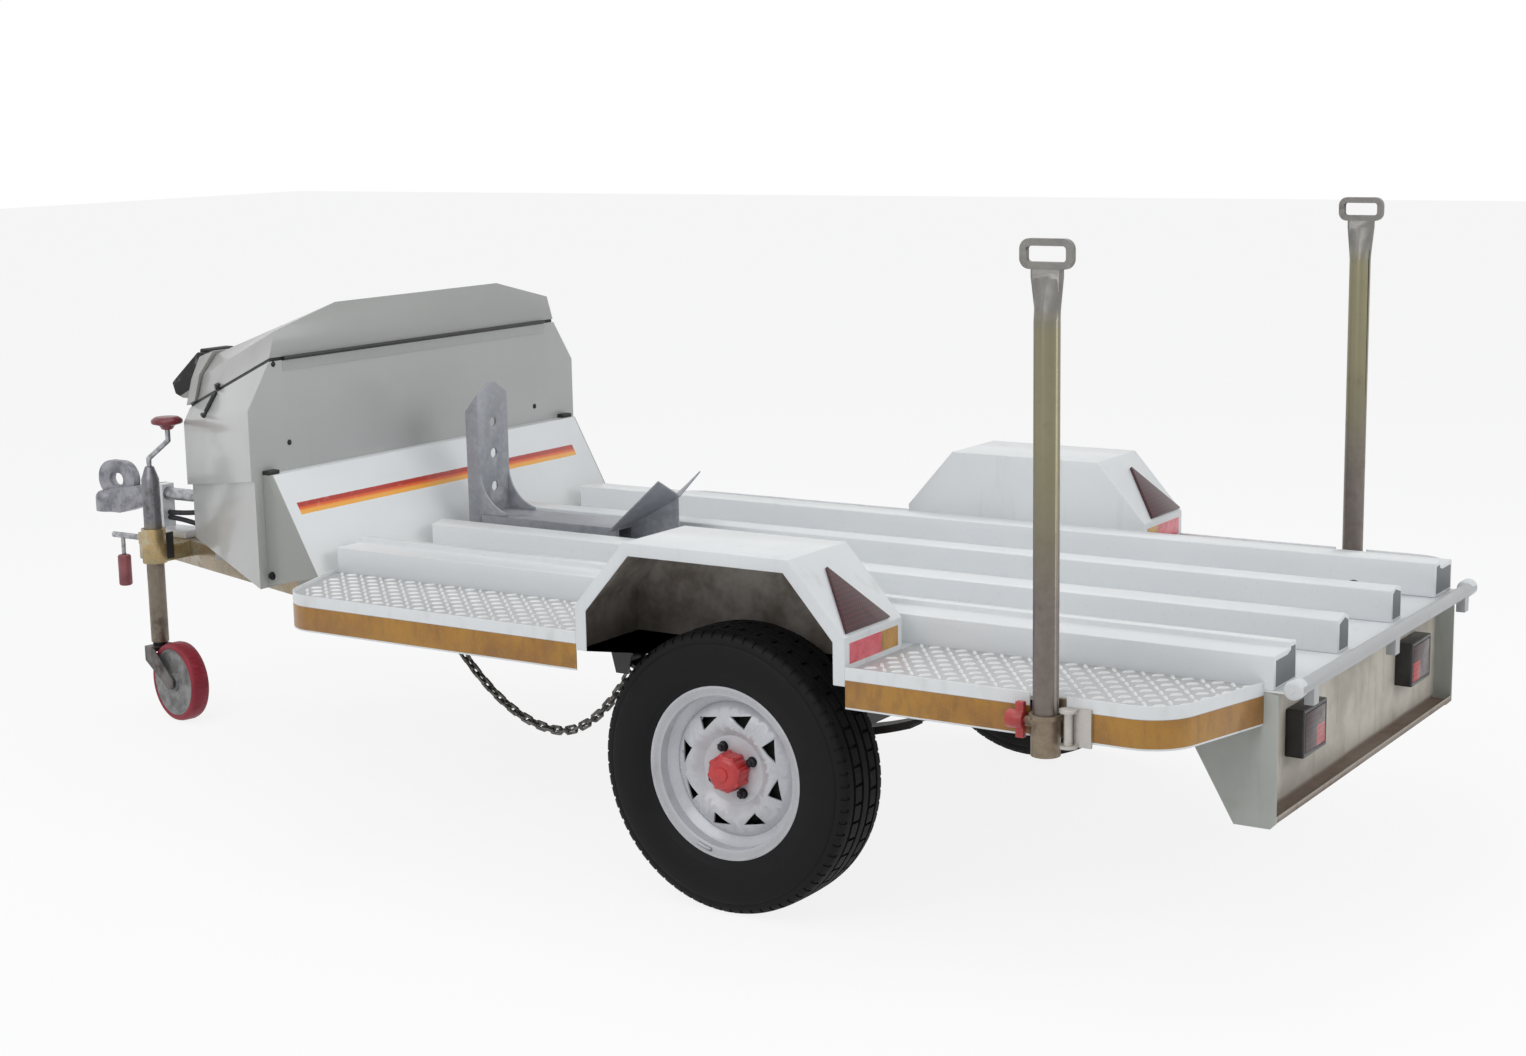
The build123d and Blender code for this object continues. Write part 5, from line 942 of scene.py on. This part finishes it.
shoulder_slots = slot_test(0.058, 0.0735, 0.284, 4, 2, 0)
rib_slots = slot_test(0.018, 0.038, 0.294, 6, 1, 4)
for in_slot, depth in ((shoulder_slots, -0.0022), (rib_slots, -0.004)):
    edit_faces(tyre, in_slot)
    bpy.ops.mesh.extrude_region_shrink_fatten(TRANSFORM_OT_shrink_fatten={"value": depth})
    done()
smoothed(tyre, 38)
for side in WHEELS:
    fit = placed_copy(tyre, "road_tyre_" + side, on_wheel(side))
    fitted(fit, side + "_wheel", tyre_rubber("tyre_rubber_" + side, WHEELS[side]))
    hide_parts("tyre_" + side)
bpy.data.objects.remove(tyre)


# ---- small fastenings ----
SUNK = 0.0004  # how deep a fastening sits in its seat
HEX_CORNER = 0.577  # the radius of a hexagon's corners, for a width of 1 across its flats
AXLE_X = WHEELS["left"].x


def from_axle(along, side, up):
    """A place measured from the axle line, the middle plane and the ground."""
    return Vector((AXLE_X + along, side, up))


def hex_bolt(name, seat, axis, across, height, stud):
    """A chamfered hexagon head on its washer, with a threaded end."""
    seat, axis = Vector(seat), Vector(axis)
    foot = seat - axis * SUNK
    washer = new_rod(name + "_washer", foot, seat + axis * 0.0014, across * 0.66, 20)
    head = new_rod(name + "_head", foot, seat + axis * height, across * HEX_CORNER, 6)
    thread = new_rod(name + "_thread", foot, seat + axis * (height + stud), across * 0.3, 16)
    eased(head, across * 0.06, 1, 75)
    eased(thread, across * 0.05, 1, 75)
    return joined(name, [washer, head, thread])


def round_head(name, seat, axis, radius, height):
    """A domed screw head on a thin collar."""
    seat, axis = Vector(seat), Vector(axis)
    foot = seat - axis * SUNK
    collar = new_rod(name + "_collar", foot, seat + axis * 0.0008, radius * 1.25, 20)
    bpy.ops.mesh.primitive_uv_sphere_add(
        segments=20, ring_count=10, radius=1, location=seat, rotation=turn_to(axis),
        scale=(radius, radius, height),
    )
    return joined(name, [collar, settle(named_new(name + "_dome"))])


# ---- brakes, wheel nuts and hub caps ----
NUT_CIRCLE = 0.052
DISC_FACE = 0.030
CAP_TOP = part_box("hub_cap_left")[1].y - WHEELS["left"].y
CAP_LOBES = 8

brake_drum = new_turned(
    "brake_drum",
    [
        (0.0375, 0.0105), (0.0375, 0.0165), (0.112, 0.0165), (0.1185, 0.0135), (0.1225, 0.006),
        (0.1225, -0.006), (0.1255, -0.007), (0.1255, -0.011), (0.1225, -0.012), (0.1225, -0.036),
        (0.1265, -0.038), (0.1265, -0.043), (0.116, -0.043), (0.116, 0.0065), (0.111, 0.0105),
        (0.0375, 0.0105),
    ],
    64,
)

nuts = []
for turn in range(4):
    angle = math.radians(116 + 90 * turn)
    seat = (NUT_CIRCLE * math.cos(angle), NUT_CIRCLE * math.sin(angle), DISC_FACE)
    nuts.append(hex_bolt("wheel_nut", seat, (0, 0, 1), 0.017, 0.012, 0.004))

lobes = []
for turn in range(CAP_LOBES):
    angle = math.radians(12 + 360 / CAP_LOBES * turn)
    reach = Vector((math.cos(angle), math.sin(angle), 0))
    foot = reach * 0.0355 + Vector((0, 0, DISC_FACE))
    top = reach * 0.0335 + Vector((0, 0, CAP_TOP - 0.007))
    lobes.append(eased(new_rod("cap_lobe", foot, top, 0.0072, 14), 0.003, 3, 75))
button = new_rod("cap_button", (0, 0, CAP_TOP - 0.002), (0, 0, CAP_TOP + 0.003), 0.017, 32, 0.0145)

bpy.ops.mesh.primitive_torus_add(
    major_radius=0.1705, minor_radius=0.0040, major_segments=120, minor_segments=10,
    location=(0, 0, 0.0640), rotation=turn_to((0, 0, 1)),
)
weight = settle(named_new("balance_weight"))
edit_faces(weight, lambda middle: not 1.14 < math.atan2(middle.y, middle.x) < 1.36)
bpy.ops.mesh.delete(type="FACE")
bpy.ops.mesh.select_all(action="SELECT")
bpy.ops.mesh.select_mode(type="EDGE")
bpy.ops.mesh.select_all(action="DESELECT")
bpy.ops.mesh.select_non_manifold()
bpy.ops.mesh.edge_face_add()
done()

back_plate = new_turned(
    "brake_back_plate",
    [
        (0.0365, -0.0475), (0.0365, -0.045), (0.108, -0.045), (0.1245, -0.044), (0.1465, -0.0465),
        (0.1485, -0.0485), (0.1465, -0.0505), (0.110, -0.0505), (0.060, -0.0505), (0.055, -0.056),
        (0.0365, -0.056), (0.0365, -0.0475),
    ],
    64,
)

for pattern, angle, slot, material in (
    (brake_drum, 40, "black_paint", drum_iron),
    (joined("wheel_nuts", nuts), 40, "black_paint", nut_black),
    (joined("hub_cap_lobes", [*lobes, button]), 40, "red_plastic", red_plastic),
    (weight, 40, "cast_grey", cast_grey),
    (back_plate, 35, "black_paint", black_paint),
):
    smoothed(pattern, angle)
    for side in WHEELS:
        body = "root" if pattern == back_plate else side + "_wheel"
        copy = placed_copy(pattern, pattern.name + "_" + side, on_wheel(side))
        fitted(copy, body, material)
    bpy.data.objects.remove(pattern)


# ---- raised bars on the side platforms ----
TREAD_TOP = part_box("tread_plates")[1].z
BAR_SIZE = (0.0285, 0.0092, 0.0034)
BAR_TURNS = (math.radians(38), math.radians(128))
ARCH_LOW, ARCH_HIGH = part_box("wheel_arch_left")
RAIL_LOW, RAIL_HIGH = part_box("deck_rails")
BAR_PITCH = 0.030


def bar_row(name, start, count, turn):
    """One row of equal lozenge bars, set at twice the pitch along the trailer."""
    bpy.ops.mesh.primitive_cone_add(
        vertices=8, radius1=0.5, radius2=0.30, depth=1, location=start, rotation=(0, 0, turn),
        scale=BAR_SIZE, end_fill_type="NGON",
    )
    return apply_modifier(
        settle(named_new(name)), "ARRAY", count=count, use_relative_offset=False,
        use_constant_offset=True, constant_offset_displace=(2 * BAR_PITCH, 0, 0),
    )


def platform_end(side_y, front):
    """How far the platform reaches along the trailer at a distance from the middle."""
    share = (ARCH_HIGH.y - side_y) / (ARCH_HIGH.y - RAIL_HIGH.y)
    return from_axle(1.150 + 0.095 * share if front else -0.990 - 0.072 * share, 0, 0).x


bar_rows = []
for row in range(8):
    side_y = RAIL_HIGH.y + 0.016 + BAR_PITCH * row
    for front in (True, False):
        if front:
            low_x, high_x = ARCH_HIGH.x + 0.018, platform_end(side_y, True) - 0.018
        else:
            low_x, high_x = platform_end(side_y, False) + 0.020, ARCH_LOW.x - 0.018
        for lean in (0, 1):
            first = low_x + BAR_PITCH * ((row + lean) % 2)
            count = int((high_x - first) / (2 * BAR_PITCH)) + 1
            place = (first, side_y, TREAD_TOP + 0.0012)
            bar_rows.append(bar_row("tread_bar", place, count, BAR_TURNS[lean]))
both_sides(smoothed(joined("tread_bars", bar_rows), 20), "root", tread_bar_highlight)


# ---- ends of the crossbar and of the deck rails ----
BAR_LOW, BAR_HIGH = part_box("rear_crossbar")
ACROSS = Matrix(((0, 0, 1, 0), (1, 0, 0, 0), (0, 1, 0, 0), (0, 0, 0, 1)))
SIDEWAYS = Matrix(((1, 0, 0, 0), (0, 0, -1, 0), (0, 1, 0, 0), (0, 0, 0, 1)))


def across_plate(name, outline, x, thick):
    """A flat plate across the trailer, outlined in (side, height)."""
    return new_prism(name, outline, Matrix.Translation((x, 0, 0)) @ ACROSS, thick)


CAP_RADIUS = 0.0188
bar_end = Vector((BAR_LOW.x + 0.0192, BAR_HIGH.y, BAR_HIGH.z - 0.014))


def cap_rod(name, start, end, *size):
    """A rod that runs outwards along the crossbar, from and to these distances past its end."""
    return new_rod(name, bar_end + Vector((0, start, 0)), bar_end + Vector((0, end, 0)), *size)


cap = eased(cap_rod("crossbar_cap", -0.030, 0.010, CAP_RADIUS, 32), 0.007, 4, 75)
tip = cap_rod("crossbar_cap_tip", 0.009, 0.013, 0.007, 20, 0.005)
both_sides(smoothed(joined("crossbar_cap", [cap, tip]), 40), "root", worn_white)

DECK_TOP = RAIL_LOW.z
# Dark plates on the rails' open ends: painted shadow for their hollow insides.
shadow_plates = []
for hollow in (
    [
        (0.520, 0.006), (0.520, 0.056), (0.462, 0.056), (0.444, 0.062), (0.444, 0.068),
        (0.424, 0.067), (0.424, 0.006),
    ],
    [(0.182, 0.006), (0.182, 0.058), (0.152, 0.067), (0.136, 0.059), (0.136, 0.006)],
):
    outline = [(side, DECK_TOP + up) for side, up in hollow]
    shadow_plates.append(across_plate("rail_hollow", outline, RAIL_LOW.x - 0.0009, 0.0016))
both_sides(joined("rail_hollows", shadow_plates), "root", rail_end_shadow)


# ---- warning tape on the backs of the wheel arches ----
TAPE_FOOT, TAPE_TOP = 0.571, 0.612
for name, inner, outer, slot, material in (
    ("arch_tape_red", 0.664, 0.786, "red_lens", red_tape),
    ("arch_tape_amber", 0.600, 0.663, "white_paint", amber_tape),
):
    back = (ARCH_LOW.x - 0.0006, inner, TAPE_FOOT)
    tape = new_block(name, back, (ARCH_LOW.x + 0.0005, outer, TAPE_TOP))
    both_sides(eased(tape, 0.0003, 1), "root", material)


# ---- screws, bolts and corner pads on the nose box, the splash panel and the rails ----
BOX_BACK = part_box("nose_body")[0].x
GUSSET_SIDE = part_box("splash_gussets")[1].y
screws = []
for side, up in ((0.530, 1.045), (0.490, 0.853), (-0.450, 0.830)):
    screws.append(round_head("box_screw", (BOX_BACK, side, up), (-1, 0, 0), 0.0055, 0.004))
fitted(smoothed(joined("box_screws", screws)), "root", nut_black)
gusset_seat = from_axle(1.400, GUSSET_SIDE, 0.545)
gusset_bolts = hex_bolt("gusset_bolts", gusset_seat, (0, 1, 0), 0.015, 0.007, 0.002)
both_sides(smoothed(gusset_bolts), "root", nut_black)
corner_pad = new_block(
    "panel_corner", (BOX_BACK - 0.022, 0.548, 0.787), (BOX_BACK + 0.0002, 0.586, 0.797)
)
both_sides(eased(corner_pad, 0.003, 3), "root", black_rubber)
rail_seat = from_axle(-0.985, -0.165, DECK_TOP + 0.0725)
rail_screw = round_head("rail_screw", rail_seat, (0, 0, 1), 0.0075, 0.0035)
fitted(smoothed(rail_screw), "root", nut_black)


# ---- the lid's strap latch on the side wall ----
OUT = Vector((0.7675, 1.0, 0.7)).normalized()
DOWN = (Vector((0, 0, -1)) + OUT * OUT.z).normalized()
WALL = Matrix((OUT.cross(DOWN), -DOWN, OUT)).transposed().to_4x4()
strap_place = Matrix.Translation(from_axle(1.8435, 0.3012, 0.9315)) @ WALL


def on_wall(name, body, *pieces):
    """Joins rubber pieces drawn along the nose box's leaning side, up it and out of it."""
    piece = smoothed(joined(name, pieces), 40)
    piece.matrix_world = strap_place
    fitted(settle(piece), body, black_rubber)


def wall_bar(name, half, up, out, radius, ease):
    """An eased bar along the wall, with its middle above the strap's place."""
    return eased(new_rod(name, (-half, up, out), (half, up, out), radius, 20), ease, 2, 75)


on_wall(
    "box_strap",
    "root",
    eased(new_block("strap", (-0.0135, -0.068, 0.0012), (0.0135, -0.001, 0.0062)), 0.0018),
    eased(new_block("strap_rib", (-0.009, -0.060, 0.0055), (0.009, -0.012, 0.0086)), 0.0016),
    wall_bar("strap_bar", 0.019, -0.070, 0.0062, 0.0052, 0.0015),
)
on_wall(
    "strap_keeper",
    "lid",
    eased(new_block("keeper", (-0.0165, 0.004, 0.0022), (0.0165, 0.021, 0.0095)), 0.0022),
    wall_bar("keeper_bar", 0.018, 0.0125, 0.0085, 0.0042, 0.001),
)


# ---- rubber pads on the latch's beak ----
def beak_pad(name, side, wide, outline):
    """A pad outlined in (along, height) from the axle and reaching wide to the right of side."""
    place = Matrix.Translation((AXLE_X, side, 0)) @ SIDEWAYS
    return eased(new_prism(name, outline, place, wide), 0.0022, 3)


pads = [
    beak_pad(
        "brow_pad", 0.075, 0.095,
        [(2.101, 0.9985), (2.137, 0.9985), (2.134, 1.0075), (2.104, 1.0075)],
    ),
    beak_pad(
        "slope_pad", 0.045, 0.095,
        [(2.160, 0.9742), (2.190, 0.9491), (2.1957, 0.9553), (2.1655, 0.9805)],
    ),
    beak_pad(
        "nose_pad", 0.075, 0.085,
        [(2.2325, 0.9122), (2.2225, 0.8832), (2.2291, 0.8809), (2.2391, 0.9099)],
    ),
]
fitted(smoothed(joined("latch_pads", pads), 40), "lid", black_rubber)


# ---- the rubber band of the jockey clamp ----
band = new_block("clamp_band", from_axle(2.2422, 0.111, 0.432), from_axle(2.2462, 0.139, 0.505))
fitted(smoothed(eased(band, 0.0012)), body_of["jockey_clamp"], black_rubber)


# ---- cables along the drawbars to the coupling ----
CABLE_LOW, CABLE_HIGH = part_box("coupling_cables")
CABLE_RADIUS = 0.007
for name, start_z, end_z in (("brake_cable", 0.500, 0.5167), ("lamp_cable", 0.543, 0.5313)):
    bpy.ops.curve.primitive_nurbs_path_add()
    cable = named_new(name)
    cable.data.splines.clear()
    route = [
        (CABLE_LOW.x, 0, start_z), (CABLE_LOW.x + 0.147, 0, start_z),
        (CABLE_HIGH.x - 0.040, 0, end_z), (CABLE_HIGH.x, 0, end_z),
    ]
    spline = cable.data.splines.new("NURBS")
    spline.points.add(len(route) - 1)
    for point, place in zip(spline.points, route):
        point.co = (*place, 1)
    spline.order_u = 3
    spline.use_endpoint_u = True
    spline.resolution_u = 24
    cable.data.dimensions = "3D"
    cable.data.bevel_depth = CABLE_RADIUS
    cable.data.bevel_resolution = 5
    cable.data.use_fill_caps = True
    cable.location = (0, 0, 0)
    cable.data.materials.clear()
    cable.data.materials.append(wire_black)
    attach(cable, "root")
    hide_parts("coupling_cables")


# ---- view, floor and light ----
EYE = Vector((-3.3953, 4.6168, 1.6465))
LENS = 56.37
HEADING = math.radians(-56.78)
DOWNWARD = math.radians(10.22)
TILT = math.radians(-1.03)


def add_camera():
    flat = math.cos(DOWNWARD)
    ahead = Vector((flat * math.cos(HEADING), flat * math.sin(HEADING), -math.sin(DOWNWARD)))
    level = Vector((math.sin(HEADING), -math.cos(HEADING), 0))
    upright = level.cross(ahead)
    right = math.cos(TILT) * level + math.sin(TILT) * upright
    up = right.cross(ahead)
    turn = Matrix((right, up, -ahead)).transposed().to_4x4()
    bpy.ops.object.camera_add()
    camera = bpy.context.object
    camera.matrix_world = Matrix.Translation(EYE) @ turn
    camera.data.lens = LENS
    camera.data.sensor_width = 36
    camera.data.clip_end = 200
    bpy.context.scene.camera = camera


def seen_directly(finish):
    """1 for the camera, mirror reflections and light through glass; 0 for light on the object."""
    path = finish.add("ShaderNodeLightPath", {}, {}).socket.node
    camera, mirror, glass = (
        Value(finish, path.outputs[f"Is {ray} Ray"]) for ray in ("Camera", "Glossy", "Transmission")
    )
    return finish.maths("MINIMUM", camera + mirror + glass, 1.0)


def add_floor():
    bpy.ops.mesh.primitive_plane_add(size=60, location=(0, 0, -0.0005))
    floor = named_new("studio_floor")
    finish = Finish("pale_floor")
    speck = finish.patches(0.3, 0.7, 2.2, 3)
    colour = finish.mix(speck, (0.93, 0.93, 0.93, 1), (0.95, 0.95, 0.95, 1))
    surface = finish.add("ShaderNodeBsdfDiffuse", {}, {"Color": colour})
    glow = finish.add("ShaderNodeEmission", {}, {"Color": (1, 1, 1, 1), "Strength": 1.0})
    sockets = {0: seen_directly(finish) * 0.86, 1: surface, 2: glow}
    blended = finish.add("ShaderNodeMixShader", {}, sockets)
    finish.add("ShaderNodeOutputMaterial", {}, {"Surface": blended})
    floor.data.materials.append(finish.material)
    settle(floor)


def add_world(strength):
    world = bpy.data.worlds.new("studio_air")
    bpy.context.scene.world = world
    finish = Finish("studio_air", world)
    seen = seen_directly(finish)
    sky = {"Color": (0.97, 0.985, 1.0, 1), "Strength": strength}
    lit = finish.add("ShaderNodeBackground", {}, sky)
    plain = finish.add("ShaderNodeBackground", {}, {"Color": (1, 1, 1, 1), "Strength": 1.0})
    blended = finish.add("ShaderNodeMixShader", {}, {0: seen, 1: lit, 2: plain})
    finish.add("ShaderNodeOutputWorld", {}, {"Surface": blended})


def add_lamp(name, place, target, size, power):
    bpy.ops.object.light_add(type="AREA", location=place)
    lamp = bpy.context.object
    lamp.name = name
    lamp.data.shape = "RECTANGLE"
    lamp.data.size, lamp.data.size_y = size
    lamp.data.energy = power
    lamp.rotation_euler = (Vector(target) - Vector(place)).to_track_quat("-Z", "Y").to_euler()


add_camera()
add_floor()
add_world(0.42)
MIDDLE = (cad_box[0] + cad_box[1]) / 2
add_lamp("key_lamp", (-0.6, 5.4, 4.6), MIDDLE, (5, 3), 126)
add_lamp("top_lamp", (0.4, 0, 5.2), MIDDLE, (6, 3), 70)
add_lamp("rear_lamp", (-5.2, -1.0, 2.8), MIDDLE, (3, 2), 58)

bpy.context.scene.view_settings.view_transform = "Standard"
